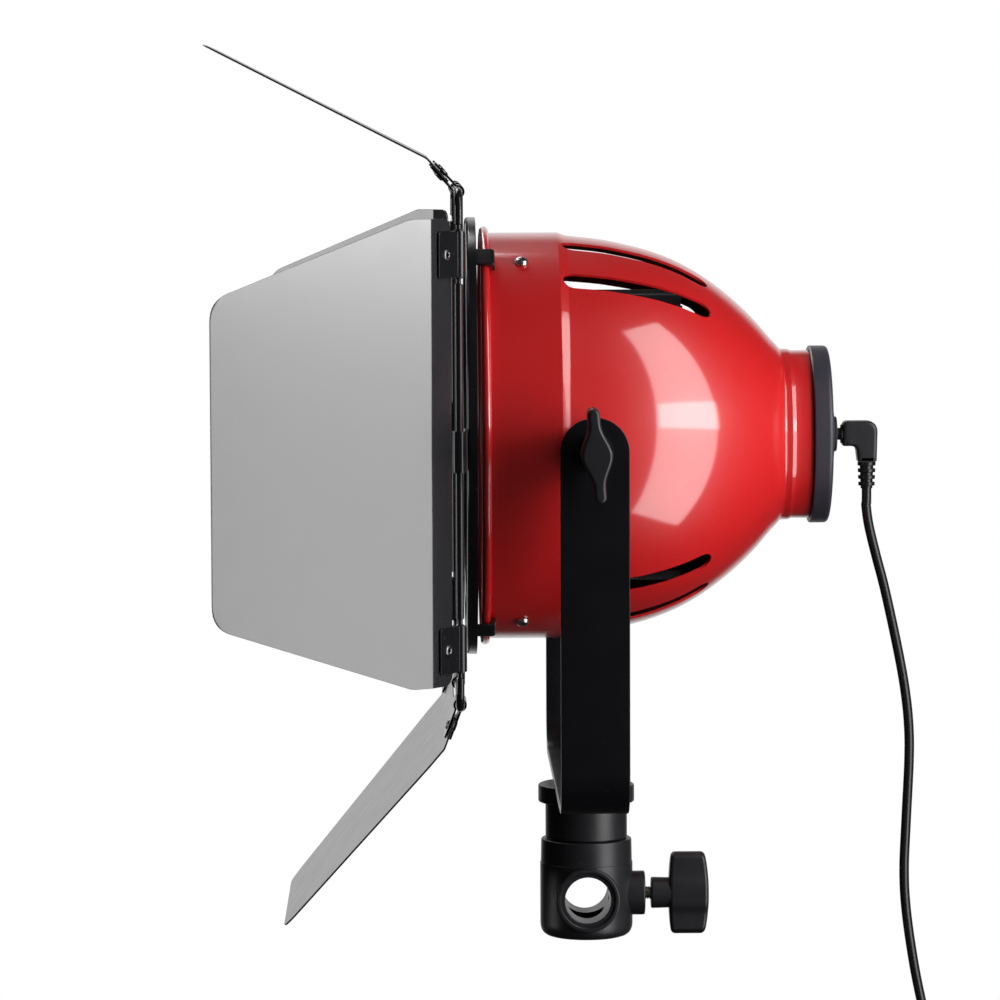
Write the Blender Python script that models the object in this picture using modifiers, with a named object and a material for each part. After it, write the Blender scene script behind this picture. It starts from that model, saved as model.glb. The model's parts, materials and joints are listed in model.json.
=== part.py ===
"""Studio lamp head with an LED source: a red spun housing on a tilting yoke, a swivel stand
receiver, a turning ring of four barn-door leaves, and a low-voltage lead.

Metres, +Z up. The origin is the centre of the stud socket's mouth, under the receiver and on the
swivel axis. The lamp's beam leaves along -X, and the tilt axis is parallel to Y.
"""

import math

import bmesh
import bpy
from mathutils import Vector

MM = 0.001

# Overall places
AXIS_HEIGHT = 230.0 * MM
CLEARANCE = 0.3 * MM
RUNNING_GAP = 0.5 * MM
FACET_TURN = 4.0

# Housing, a spun sheet shell about the lamp axis; x is measured from the tilt axis, rearwards
SHEET = 1.2 * MM
BAND_RADIUS = 92.4 * MM
BAND_REAR_X = -12.9 * MM
CREASE_REAR_X = -9.3 * MM
CREASE_DROP = 1.2 * MM
BEAD_X = -46.2 * MM
BEAD_ROLL_RADIUS = 1.5 * MM
SHOULDER_X = 16.1 * MM
SHOULDER_DROP = 4.9 * MM
BELL_END_X = 86.5 * MM
NECK_RADIUS = 38.3 * MM
NECK_FILLET = 3.4 * MM
NECK_REAR_X = 101.4 * MM
SHELL_STEPS = 32

# Vent slots in the bell
SLOT_FRONT_X = -11.5 * MM
SLOT_REAR_X = 54.5 * MM
SLOT_WIDTH = 10.0 * MM
SLOT_CUT_DEPTH = 40.0 * MM
SLOT_PITCH = 20.2
SLOTS_IN_GROUP = 5
TOP_GROUP_CENTRE = -3.0
BOTTOM_GROUP_CENTRE = 177.0

# Rear cap and the low-voltage socket
CAP_RADIUS = 40.4 * MM
CAP_DEPTH = 8.6 * MM
CAP_WALL = 2.4 * MM
CAP_SPIGOT_DEPTH = 8.0 * MM
CAP_BOSS_RADIUS = 13.6 * MM
CAP_BOSS_HEIGHT = 2.6 * MM
CAP_BOSS_EDGE = 1.5 * MM
CAP_RIM_EDGE = 2.0 * MM
CAP_REAR_EDGE = 0.6 * MM
CAP_STEPS = 24
SOCKET_RADIUS = 5.6 * MM
SOCKET_FLANGE_RADIUS = 8.0 * MM
SOCKET_FLANGE_DEPTH = 1.4 * MM
SOCKET_DEPTH = 17.0 * MM
SOCKET_NUT_RADIUS = 8.2 * MM
SOCKET_NUT_DEPTH = 3.0 * MM
SOCKET_PIN_RADIUS = 0.9 * MM

# Heat sink, carrier, LED board, reflector and driver board
SINK_RADIUS = 66.3 * MM
SINK_CORE_RADIUS = 25.0 * MM
SINK_FRONT_X = -14.0 * MM
SINK_REAR_X = 42.8 * MM
SINK_FINS = 28
FIN_THICKNESS = 1.9 * MM
CARRIER_PLATE = 2.0 * MM
CARRIER_RIM_FRONT_X = -41.0 * MM
CARRIER_RIM_WALL = 1.4 * MM
CARRIER_WINDOW_RADIUS = 34.0 * MM
LED_BOARD_SIZE = 44.0 * MM
LED_BOARD_THICKNESS = 2.0 * MM
LED_EMITTER_RADIUS = 12.0 * MM
LED_EMITTER_HEIGHT = 0.9 * MM
REFLECTOR_THROAT_RADIUS = 15.5 * MM
REFLECTOR_MOUTH_RADIUS = 86.5 * MM
REFLECTOR_SHEET = 0.8 * MM
DRIVER_BOARD_SIZE = 46.0 * MM
DRIVER_BOARD_THICKNESS = 1.6 * MM
DRIVER_STANDOFF = 9.0 * MM
DRIVER_POST_RADIUS = 2.6 * MM

# Screws through the band into the carrier's rim
BAND_SCREW_X = -29.9 * MM
BAND_SCREW_ANGLES = (30.2, 150.2, 270.2)
BAND_SCREW_RADIUS = 1.5 * MM
BAND_SCREW_HEAD_RADIUS = 2.95 * MM
BAND_SCREW_HEAD_HEIGHT = 1.9 * MM
BAND_SCREW_REACH = 6.0 * MM

# Yoke, a flat strip bent to a U
YOKE_HALF_SPAN = 120.0 * MM
STRIP_WIDTH = 30.0 * MM
STRIP_THICKNESS = 3.0 * MM
YOKE_BEND_RADIUS = 20.0 * MM

# Tilt pivots, one at each arm
PIVOT_BOLT_RADIUS = 3.0 * MM
PIVOT_HEAD_RADIUS = 7.0 * MM
PIVOT_HEAD_HEIGHT = 2.5 * MM
SPACER_RADIUS = 11.0 * MM
FRICTION_DISC_RADIUS = 14.0 * MM
FRICTION_DISC_THICKNESS = 1.6 * MM
PIVOT_WASHER_RADIUS = 8.0 * MM
PIVOT_WASHER_THICKNESS = 1.2 * MM
WING_HALF_LENGTH = 20.3 * MM
WING_TIP_HALF_WIDTH = 2.4 * MM
WING_HUB_RADIUS = 6.8 * MM
WING_KNOB_HEIGHT = 24.0 * MM
WING_BASE_HEIGHT = 7.0 * MM
WING_LEAN = 4.8

# Swivel base and receiver; z is measured from the socket's mouth
FLANGE_TOP_Z = 70.0 * MM
FLANGE_THICKNESS = 8.0 * MM
FLANGE_RADIUS = 22.0 * MM
SWIVEL_RADIUS = 18.7 * MM
SWIVEL_SPIGOT_RADIUS = 16.0 * MM
SWIVEL_SPIGOT_DEPTH = 3.8 * MM
SWIVEL_SEAM = 0.5 * MM
RECEIVER_TOP_Z = 45.0 * MM
RECEIVER_TOP_RADIUS = 20.7 * MM
RECEIVER_RADIUS = 21.2 * MM
RECEIVER_STEP_Z = 34.0 * MM
RECEIVER_STEP = 0.25 * MM
RECEIVER_FILLET = 6.0 * MM
CUP_FLOOR_THICKNESS = 4.4 * MM
STUD_BORE_RADIUS = 8.15 * MM
CROSS_BORE_Z = 19.3 * MM
CROSS_BORE_RADIUS = 10.5 * MM
CROSS_BOSS_RADIUS = 14.6 * MM
CROSS_BOSS_FACE_Y = 24.0 * MM
CROSS_RECESS_RADIUS = 12.4 * MM
CROSS_RECESS_DEPTH = 1.2 * MM
SWIVEL_BOLT_RADIUS = 4.0 * MM
HEX_RADIUS = 7.4 * MM
HEX_HEAD_HEIGHT = 5.4 * MM
SWIVEL_NUT_HEIGHT = 6.0 * MM
SWIVEL_WASHER_RADIUS = 11.0 * MM
SWIVEL_WASHER_THICKNESS = 1.6 * MM

# Clamp screw that grips the stud
CLAMP_BOSS_RADIUS = 10.1 * MM
CLAMP_BOSS_END_X = 26.8 * MM
CLAMP_SCREW_RADIUS = 3.0 * MM
CLAMP_SCREW_TIP_X = 10.5 * MM
CLAMP_HUB_START_X = 29.6 * MM
CLAMP_HUB_RADIUS = 7.3 * MM
CLAMP_LEVER_START_X = 37.8 * MM
CLAMP_LEVER_END_X = 56.0 * MM
CLAMP_LEVER_HALF_LENGTH = 19.0 * MM
CLAMP_LEVER_THICKNESS = 10.0 * MM
CLAMP_SOCKET_DEPTH = 14.0 * MM

# Barn-door ring and the rod square in front of it
RING_RADIUS = 99.5 * MM
RING_HOLE_RADIUS = 84.0 * MM
RING_FRONT_X = -54.9 * MM
RING_DEPTH = 4.9 * MM
RING_SHEET = 1.2 * MM
RING_EDGE = 1.6 * MM
RING_STEPS = 32
HOOK_ANGLES = (31.0, 151.0, 271.0)
HOOK_WIDTH = 12.0 * MM
HOOK_SHEET = 1.2 * MM
HOOK_TURN = 2.2 * MM
HOOK_OUTER_TURN = 2.8 * MM
HOOK_REAR_X = -41.8 * MM
ROD_X = -58.5 * MM
ROD_RADIUS = 1.8 * MM
ROD_HALF_SPAN = 112.2 * MM
ROD_CORNER_RADIUS = 8.0 * MM
TAB_WIDTH = 18.0 * MM
TAB_SHEET = 1.0 * MM
TAB_REACH = 22.0 * MM
TAB_CURL = 290.0

# Leaves, numbered round the lamp axis from the top towards the viewer's side
LEAF_NAMES = ("top", "near", "bottom", "far")
LEAF_SIDE_ANGLES = (0.0, 90.0, 180.0, 270.0)
LEAF_OPENINGS = (27.0, 33.0, 49.5, 42.0)
LEAF_SHEET = 0.8 * MM
LEAF_EDGE_GAP = 6.0 * MM
LEAF_FLANGE = 20.0 * MM
LEAF_BEND = 20.0
LEAF_LENGTH = 130.0 * MM
LEAF_STRAIGHT = 30.4 * MM
LEAF_HALF_WIDTH = 101.0 * MM
LEAF_TIP_HALF_WIDTH = 68.6 * MM
LEAF_TIP_CORNER = 13.0 * MM
LEAF_ROOT_CORNER = 6.0 * MM
STRAP_OFFSET = 85.5 * MM
STRAP_WIDTH = 20.0 * MM
STRAP_LENGTH = 16.0 * MM
STRAP_SHEET = 0.9 * MM
STRAP_BORE_GAP = 0.28 * MM
RIVET_REACH = 10.6 * MM
RIVET_RADIUS = 1.7 * MM
RIVET_HEAD_RADIUS = 2.6 * MM
RIVET_HEAD_HEIGHT = 0.6 * MM

# Low-voltage plug, lead, coil and the lead's far connector
BARREL_RADIUS = 2.75 * MM
BARREL_BORE_RADIUS = 1.3 * MM
BARREL_LENGTH = 9.5 * MM
PLUG_GAP_X = 2.7 * MM
PLUG_HALF_WIDTH = 5.4 * MM
PLUG_LENGTH = 16.0 * MM
PLUG_LEG_WIDTH = 9.6 * MM
PLUG_LEG_DROP = 12.5 * MM
PLUG_TOP = 6.0 * MM
PLUG_BARREL_HOLD = 3.0 * MM
PLUG_CORNER = 2.4 * MM
PLUG_EDGE = 1.2 * MM
RELIEF_LENGTH = 12.2 * MM
RELIEF_RADIUS = 4.2 * MM
RELIEF_GROOVE = 1.1 * MM
RELIEF_RIBS = 4
RELIEF_HOLD = 3.0 * MM
CORD_RADIUS = 2.25 * MM
CORD_ROUTE = (
    (128.3, 197.3),
    (129.6, 188.0),
    (132.9, 174.3),
    (137.1, 158.2),
    (143.1, 130.6),
    (146.4, 112.1),
    (148.1, 96.0),
    (148.3, 79.8),
    (147.0, 52.1),
    (146.1, 28.9),
    (147.1, 10.3),
    (150.4, -12.9),
    (154.1, -31.6),
    (158.2, -48.0),
)
COIL_CENTRE = (161.0 * MM, 0.0, -96.0 * MM)
COIL_TURNS = 8
COIL_POINTS_PER_TURN = 24
COIL_OUTER_RADIUS = 36.0 * MM
COIL_PITCH = 5.0 * MM
COIL_START_ANGLE = 62.0
COIL_TAIL = 20.0 * MM
TIE_ANGLE = 38.0
TIE_WIDTH = 12.0 * MM
TIE_THICKNESS = 1.3 * MM
TIE_SLACK = 0.35 * MM
CONNECTOR_RADIUS = 5.0 * MM
CONNECTOR_LENGTH = 32.0 * MM
CONNECTOR_BORE_DEPTH = 9.0 * MM

# Colours, roughness and metallic values of the materials
MATERIALS = {
    "red_enamel": ((0.55, 0.012, 0.012), 0.22, 0.0),
    "black_plastic": ((0.02, 0.02, 0.022), 0.5, 0.0),
    "gloss_black": ((0.012, 0.012, 0.013), 0.2, 0.0),
    "leaf_sheet": ((0.10, 0.10, 0.11), 0.4, 0.6),
    "black_steel": ((0.015, 0.015, 0.017), 0.35, 0.2),
    "zinc_steel": ((0.6, 0.6, 0.58), 0.3, 1.0),
    "aluminium": ((0.35, 0.35, 0.36), 0.45, 1.0),
    "reflector": ((0.85, 0.85, 0.85), 0.15, 1.0),
    "circuit_board": ((0.02, 0.12, 0.05), 0.5, 0.0),
    "led_board": ((0.75, 0.72, 0.6), 0.4, 0.0),
    "cord_rubber": ((0.012, 0.012, 0.012), 0.3, 0.0),
    "fibre": ((0.25, 0.17, 0.11), 0.8, 0.0),
}


def clear_scene():
    for old in list(bpy.data.objects):
        bpy.data.objects.remove(old, do_unlink=True)


def collection(name):
    made = bpy.data.collections.new(name)
    bpy.context.scene.collection.children.link(made)
    return made


def make_materials():
    for name, (colour, roughness, metallic) in MATERIALS.items():
        made = bpy.data.materials.new(name)
        made.use_nodes = True
        shader = made.node_tree.nodes["Principled BSDF"]
        shader.inputs["Base Color"].default_value = (*colour, 1.0)
        shader.inputs["Roughness"].default_value = roughness
        shader.inputs["Metallic"].default_value = metallic


def place(obj, parent=None, location=(0, 0, 0), rotation=(0, 0, 0)):
    """Puts an object at a place in its parent's frame; rotation is in degrees, about X, then Y, then Z."""
    obj.parent = parent
    obj.location = location
    obj.rotation_euler = [math.radians(a) for a in rotation]
    return obj


def part(obj, material, parent=None, location=(0, 0, 0), rotation=(0, 0, 0), smooth=True):
    """Makes an object one of the lamp's pieces."""
    obj.data.materials.clear()
    obj.data.materials.append(bpy.data.materials[material])
    if smooth and obj.type == "MESH":
        obj.data.shade_smooth()
        obj.data.set_sharp_from_angle(angle=math.radians(35))
    PIECES.objects.link(obj)
    return place(obj, parent, location, rotation)


def frame_empty(name, parent=None, location=(0, 0, 0), rotation=(0, 0, 0)):
    made = bpy.data.objects.new(name, None)
    made.empty_display_size = 0.01
    PIECES.objects.link(made)
    return place(made, parent, location, rotation)


def cutter(obj, parent=None, location=(0, 0, 0), rotation=(0, 0, 0)):
    """Makes an object a hidden tool for Boolean cuts."""
    obj.hide_render = True
    obj.display_type = "WIRE"
    CUTTERS.objects.link(obj)
    return place(obj, parent, location, rotation)


def boolean(obj, tool, operation="DIFFERENCE"):
    made = obj.modifiers.new(f"{operation.lower()}_{tool.name}", "BOOLEAN")
    made.operation = operation
    made.object = tool
    made.solver = "EXACT"
    return obj


def mesh_object(name, made):
    data = bpy.data.meshes.new(name)
    made.to_mesh(data)
    made.free()
    return bpy.data.objects.new(name, data)


def cylinder(name, radius, start, end, sides=24, end_radius=None):
    """A cylinder or cone about local Z, from start to end."""
    made = bmesh.new()
    bmesh.ops.create_cone(
        made,
        cap_ends=True,
        segments=sides,
        radius1=radius,
        radius2=radius if end_radius is None else end_radius,
        depth=end - start,
    )
    bmesh.ops.translate(made, vec=(0, 0, (start + end) / 2), verts=made.verts)
    return mesh_object(name, made)


def box(name, size, centre=(0, 0, 0)):
    made = bmesh.new()
    bmesh.ops.create_cube(made, size=1)
    bmesh.ops.scale(made, vec=size, verts=made.verts)
    bmesh.ops.translate(made, vec=centre, verts=made.verts)
    return mesh_object(name, made)


def turned(name, profile, steps, closed=False):
    """A solid turned about local Z from (radius, height) points, listed so that the outer side runs down.

    An open profile starts and ends on the axis; a closed one is a ring's section.
    """
    made = bmesh.new()
    points = [made.verts.new((r, 0, h)) for r, h in profile]
    ends = points[1:] + points[:1] if closed else points[1:]
    for a, b in zip(points, ends):
        made.edges.new((a, b))
    obj = mesh_object(name, made)
    screw = obj.modifiers.new("turn", "SCREW")
    screw.steps = steps
    screw.render_steps = steps
    screw.use_merge_vertices = True
    screw.merge_threshold = 1e-6
    screw.use_smooth_shade = True
    return obj


def flat_outline(name, outline, thickness, holes=()):
    """A plate in local XY, centred on local Z, from a closed outline of points and any inner outlines."""
    data = bpy.data.curves.new(name, "CURVE")
    data.dimensions = "2D"
    data.fill_mode = "BOTH"
    data.extrude = thickness / 2
    for line in (outline, *holes):
        spline = data.splines.new("POLY")
        spline.points.add(len(line) - 1)
        for point, (x, y) in zip(spline.points, line):
            point.co = (x, y, 0, 1)
        spline.use_cyclic_u = True
    return solid_of(bpy.data.objects.new(name, data))


def solid_of(curve):
    """A mesh object with a curve's evaluated shape, its caps welded on, in place of the curve."""
    name = curve.name
    bpy.context.scene.collection.objects.link(curve)
    bpy.context.view_layer.update()
    graph = bpy.context.evaluated_depsgraph_get()
    data = bpy.data.meshes.new_from_object(curve.evaluated_get(graph))
    matrix = curve.matrix_world.copy()
    bpy.data.objects.remove(curve, do_unlink=True)
    made = bmesh.new()
    made.from_mesh(data)
    bmesh.ops.remove_doubles(made, verts=made.verts, dist=1e-7)
    bmesh.ops.recalc_face_normals(made, faces=made.faces)
    made.to_mesh(data)
    made.free()
    obj = bpy.data.objects.new(name, data)
    obj.matrix_world = matrix
    return obj


def tube(name, points, radius, resolution, cyclic=False):
    """A round tube along points, with filled caps where it is open."""
    data = bpy.data.curves.new(name, "CURVE")
    data.dimensions = "3D"
    data.bevel_depth = radius
    data.bevel_resolution = resolution
    data.use_fill_caps = not cyclic
    spline = data.splines.new("POLY")
    spline.points.add(len(points) - 1)
    for point, place_ in zip(spline.points, points):
        point.co = (*place_, 1)
    spline.use_cyclic_u = cyclic
    return solid_of(bpy.data.objects.new(name, data))


def arc(centre, radius, start, end, count):
    """Points on an arc in a plane, angles in degrees."""
    return [
        (
            centre[0] + radius * math.cos(math.radians(start + (end - start) * k / (count - 1))),
            centre[1] + radius * math.sin(math.radians(start + (end - start) * k / (count - 1))),
        )
        for k in range(count)
    ]


def smooth_through(points, per_span):
    """Points on a Catmull-Rom curve through the given ones."""
    ends = [2 * points[0] - points[1], *points, 2 * points[-1] - points[-2]]
    found = []
    for k in range(1, len(ends) - 2):
        p0, p1, p2, p3 = ends[k - 1 : k + 3]
        for step in range(per_span):
            t = step / per_span
            found.append(
                0.5
                * (
                    2 * p1
                    + (p2 - p0) * t
                    + (2 * p0 - 5 * p1 + 4 * p2 - p3) * t**2
                    + (3 * p1 - p0 - 3 * p2 + p3) * t**3
                )
            )
    return [*found, points[-1]]


def bell_outline():
    """The housing's outer line behind the band, as (x, radius) points from the crease to the neck's end."""
    start = BAND_RADIUS - CREASE_DROP
    shoulder = start - SHOULDER_DROP
    neck = NECK_RADIUS
    span = BELL_END_X - SHOULDER_X
    quarter = CREASE_REAR_X + (SHOULDER_X - CREASE_REAR_X) / 4
    points = [(CREASE_REAR_X, start), (quarter, start - 0.12 * SHOULDER_DROP)]
    points.append(((SHOULDER_X + CREASE_REAR_X) / 2, start - 0.36 * SHOULDER_DROP))
    count = 7
    for k in range(count):
        t = k / (count - 1)
        fall = 0.395 * t + 0.605 * t**3.6
        points.append((SHOULDER_X + span * t, shoulder - (shoulder - neck - NECK_FILLET) * fall))
    points.append((BELL_END_X + 0.35 * NECK_FILLET, neck + 0.35 * NECK_FILLET))
    points.append((BELL_END_X + NECK_FILLET, neck))
    points.append((NECK_REAR_X, neck))
    return points


def make_housing(lamp):
    """The spun shell: a mid-line profile with a rolled front bead, turned and given its sheet thickness."""
    mid = SHEET / 2
    band = BAND_RADIUS - mid
    bead = arc((BEAD_X, band + BEAD_ROLL_RADIUS), BEAD_ROLL_RADIUS, 18, 270, 6)
    line = [*bead, (BAND_REAR_X, band)]
    line += [(x, radius - mid) for x, radius in bell_outline()]
    shell = turned("housing_shell", [(radius, x) for x, radius in reversed(line)], SHELL_STEPS)
    thick = shell.modifiers.new("sheet", "SOLIDIFY")
    thick.thickness = SHEET
    thick.offset = 0
    thick.use_even_offset = True
    length = SLOT_REAR_X - SLOT_FRONT_X
    half = length / 2 - SLOT_WIDTH / 2
    outline = arc((half, 0), SLOT_WIDTH / 2, -90, 90, 5)
    outline += arc((-half, 0), SLOT_WIDTH / 2, 90, 270, 5)
    middle = (SLOT_REAR_X + SLOT_FRONT_X) / 2
    first = -(SLOTS_IN_GROUP - 1) / 2
    for group, centre in (("top", TOP_GROUP_CENTRE), ("bottom", BOTTOM_GROUP_CENTRE)):
        for k in range(SLOTS_IN_GROUP):
            angle = centre + (first + k) * SLOT_PITCH
            tool = flat_outline(f"slot_{group}_{k + 1}", outline, SLOT_CUT_DEPTH)
            holder = frame_empty(f"slot_place_{group}_{k + 1}", lamp, rotation=(angle, 0, 0))
            cutter(tool, holder, (middle, 0, BAND_RADIUS - SLOT_CUT_DEPTH / 5))
            boolean(shell, tool)
    part(shell, "red_enamel", lamp, rotation=(0, 90, 0))
    return shell


def make_rear_cap(lamp):
    """The black cap that closes the neck, with the socket's boss."""
    face = NECK_REAR_X + CLEARANCE + CAP_DEPTH
    inner = NECK_RADIUS - SHEET - CLEARANCE
    edge = CAP_RIM_EDGE
    bore = SOCKET_RADIUS + CLEARANCE
    profile = [
        (bore, face + CAP_BOSS_HEIGHT),
        (CAP_BOSS_RADIUS - CAP_BOSS_EDGE, face + CAP_BOSS_HEIGHT),
        (CAP_BOSS_RADIUS, face + CAP_BOSS_HEIGHT - 0.7 * CAP_BOSS_EDGE),
        (CAP_BOSS_RADIUS, face),
        (CAP_RADIUS - edge, face),
        (CAP_RADIUS - 0.3 * edge, face - 0.3 * edge),
        (CAP_RADIUS, face - edge),
        (CAP_RADIUS, face - CAP_DEPTH + CAP_REAR_EDGE),
        (CAP_RADIUS - CAP_REAR_EDGE, face - CAP_DEPTH),
        (inner, face - CAP_DEPTH),
        (inner, face - CAP_DEPTH - CAP_SPIGOT_DEPTH),
        (inner - CAP_WALL, face - CAP_DEPTH - CAP_SPIGOT_DEPTH),
        (inner - CAP_WALL, face - CAP_WALL),
        (bore, face - CAP_WALL),
    ]
    cap = turned("rear_cap", profile, CAP_STEPS, closed=True)
    part(cap, "black_plastic", lamp, rotation=(0, 90, 0))
    return face


def make_socket(lamp, face):
    """The panel socket in the cap, a hollow barrel with a centre pin, and its nut inside the cap."""
    seat = face + CAP_BOSS_HEIGHT + CLEARANCE
    front = seat + SOCKET_FLANGE_DEPTH
    bore = BARREL_RADIUS + CLEARANCE
    floor = front - BARREL_LENGTH - 1.0 * MM
    profile = [
        (0, front - 1.5 * MM),
        (SOCKET_PIN_RADIUS, front - 1.5 * MM),
        (SOCKET_PIN_RADIUS, floor),
        (bore, floor),
        (bore, front),
        (SOCKET_FLANGE_RADIUS - 0.5 * MM, front),
        (SOCKET_FLANGE_RADIUS, front - 0.5 * MM),
        (SOCKET_FLANGE_RADIUS, seat),
        (SOCKET_RADIUS, seat),
        (SOCKET_RADIUS, seat - SOCKET_DEPTH),
        (0, seat - SOCKET_DEPTH),
    ]
    part(turned("dc_socket", profile, 16), "black_plastic", lamp, rotation=(0, 90, 0))
    nut_top = face - CAP_WALL - CLEARANCE
    nut = cylinder("socket_nut", SOCKET_NUT_RADIUS, nut_top - SOCKET_NUT_DEPTH, nut_top, sides=6)
    hole = cylinder("socket_nut_hole", SOCKET_RADIUS + CLEARANCE, 0, 2 * NECK_REAR_X, sides=20)
    boolean(nut, cutter(hole, lamp, rotation=(0, 90, 0)))
    part(nut, "zinc_steel", lamp, rotation=(0, 90, 0), smooth=False)
    return front


def make_heat_sink(lamp):
    """An extruded sink with radial fins."""
    outline = []
    for k in range(SINK_FINS):
        middle = 360 * k / SINK_FINS
        for radius, side in (
            (SINK_CORE_RADIUS, -1),
            (SINK_RADIUS, -1),
            (SINK_RADIUS, 1),
            (SINK_CORE_RADIUS, 1),
        ):
            turn = math.asin(side * FIN_THICKNESS / 2 / radius)
            angle = math.radians(middle) + turn
            outline.append((radius * math.cos(angle), radius * math.sin(angle)))
    sink = flat_outline("heat_sink", outline, SINK_REAR_X - SINK_FRONT_X)
    middle_x = (SINK_REAR_X + SINK_FRONT_X) / 2
    part(sink, "aluminium", lamp, (middle_x, 0, 0), (0, 90, 0), smooth=False)


def make_carrier(lamp, shell):
    """The pan that holds the sink: a plate with a window, and a rim that the band's screws go into."""
    outer = BAND_RADIUS - SHEET - CLEARANCE
    rear = SINK_FRONT_X - CLEARANCE
    profile = [
        (CARRIER_WINDOW_RADIUS, rear),
        (outer, rear),
        (outer, CARRIER_RIM_FRONT_X),
        (outer - CARRIER_RIM_WALL, CARRIER_RIM_FRONT_X),
        (outer - CARRIER_RIM_WALL, rear - CARRIER_PLATE),
        (CARRIER_WINDOW_RADIUS, rear - CARRIER_PLATE),
    ]
    carrier = turned("led_carrier", profile, SHELL_STEPS, closed=True)
    for k, angle in enumerate(BAND_SCREW_ANGLES, 1):
        holder = frame_empty(f"band_screw_place_{k}", lamp, rotation=(angle, 0, 0))
        hole = cylinder(
            f"band_screw_hole_{k}", BAND_SCREW_RADIUS + CLEARANCE, -10 * MM, 10 * MM, sides=16
        )
        cutter(hole, holder, (BAND_SCREW_X, 0, BAND_RADIUS))
        boolean(shell, hole)
        boolean(carrier, hole)
        make_band_screw(k, holder)
    part(carrier, "black_steel", lamp, rotation=(0, 90, 0))


def make_band_screw(number, holder):
    head = BAND_SCREW_HEAD_HEIGHT
    seat = BAND_RADIUS + CLEARANCE
    profile = [
        (0, head),
        (0.55 * BAND_SCREW_HEAD_RADIUS, 0.92 * head),
        (0.88 * BAND_SCREW_HEAD_RADIUS, 0.6 * head),
        (BAND_SCREW_HEAD_RADIUS, 0),
        (BAND_SCREW_RADIUS, 0),
        (BAND_SCREW_RADIUS, -BAND_SCREW_REACH),
        (0, -BAND_SCREW_REACH),
    ]
    screw = turned(f"band_screw_{number}", profile, 12)
    part(screw, "zinc_steel", holder, (BAND_SCREW_X, 0, seat))


def make_light_source(lamp):
    """The LED board on the sink, the reflector in front of it, and the driver board behind."""
    board_x = SINK_FRONT_X - CLEARANCE - LED_BOARD_THICKNESS / 2
    board = box("led_module", (LED_BOARD_THICKNESS, LED_BOARD_SIZE, LED_BOARD_SIZE))
    emitter = cylinder("led_emitter", LED_EMITTER_RADIUS, -LED_EMITTER_HEIGHT, 0.5 * MM, sides=32)
    cutter(emitter, lamp, (board_x - LED_BOARD_THICKNESS / 2, 0, 0), (0, 90, 0))
    boolean(board, emitter, "UNION")
    part(board, "led_board", lamp, (board_x, 0, 0), smooth=False)

    throat_x = board_x - LED_BOARD_THICKNESS / 2 - CLEARANCE - REFLECTOR_SHEET / 2
    lip_x = CARRIER_RIM_FRONT_X - CLEARANCE - REFLECTOR_SHEET / 2
    reach = REFLECTOR_MOUTH_RADIUS - REFLECTOR_THROAT_RADIUS
    bowl = [(REFLECTOR_THROAT_RADIUS - 2.5 * MM, throat_x)]
    for k in range(5):
        t = k / 4
        bowl.append((REFLECTOR_THROAT_RADIUS + reach * t, throat_x + (lip_x - throat_x) * t**1.7))
    bowl.append((BAND_RADIUS - SHEET - 2 * CLEARANCE, lip_x))
    reflector = turned("reflector", bowl, SHELL_STEPS)
    thick = reflector.modifiers.new("sheet", "SOLIDIFY")
    thick.thickness = REFLECTOR_SHEET
    thick.offset = 0
    part(reflector, "reflector", lamp, rotation=(0, 90, 0))

    base_x = SINK_REAR_X + CLEARANCE
    driver_x = base_x + DRIVER_STANDOFF + DRIVER_BOARD_THICKNESS / 2
    driver = box("driver_board", (DRIVER_BOARD_THICKNESS, DRIVER_BOARD_SIZE, DRIVER_BOARD_SIZE))
    reach = DRIVER_STANDOFF + 0.5 * MM
    corner = DRIVER_BOARD_SIZE / 2 - 5 * MM
    for k, (y, z) in enumerate(((-1, -1), (-1, 1), (1, -1), (1, 1)), 1):
        post = cylinder(f"driver_post_{k}", DRIVER_POST_RADIUS, 0, reach, sides=12)
        cutter(post, lamp, (base_x, y * corner, z * corner), (0, 90, 0))
        boolean(driver, post, "UNION")
    parts_on_board = (
        ("capacitor", 6.5 * MM, 17 * MM, (9 * MM, 8 * MM)),
        ("capacitor_small", 4.5 * MM, 12 * MM, (-4 * MM, 12 * MM)),
        ("inductor", 8.0 * MM, 9 * MM, (-8 * MM, -8 * MM)),
    )
    for name, radius, height, (y, z) in parts_on_board:
        lump = cylinder(name, radius, -0.5 * MM, height, sides=16)
        cutter(lump, lamp, (driver_x + DRIVER_BOARD_THICKNESS / 2, y, z), (0, 90, 0))
        boolean(driver, lump, "UNION")
    part(driver, "circuit_board", lamp, (driver_x, 0, 0), smooth=False)


def wing_outline():
    """The wing knob's outline: a round hub drawn out to two narrow rounded tips."""
    right = []
    count = 7
    for k in range(count):
        t = k / (count - 1)
        swell = 0.5 + 0.5 * math.cos(math.pi * min(1.0, t * 1.25))
        half = WING_TIP_HALF_WIDTH + (WING_HUB_RADIUS - WING_TIP_HALF_WIDTH) * swell**1.15
        right.append((half, t * (WING_HALF_LENGTH - WING_TIP_HALF_WIDTH)))
    tip = arc((0, WING_HALF_LENGTH - WING_TIP_HALF_WIDTH), WING_TIP_HALF_WIDTH, 0, 180, 5)
    upper = right[:-1] + tip + [(-x, y) for x, y in reversed(right[:-1])]
    return upper + [(-x, -y) for x, y in upper[1:-1]]


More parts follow.
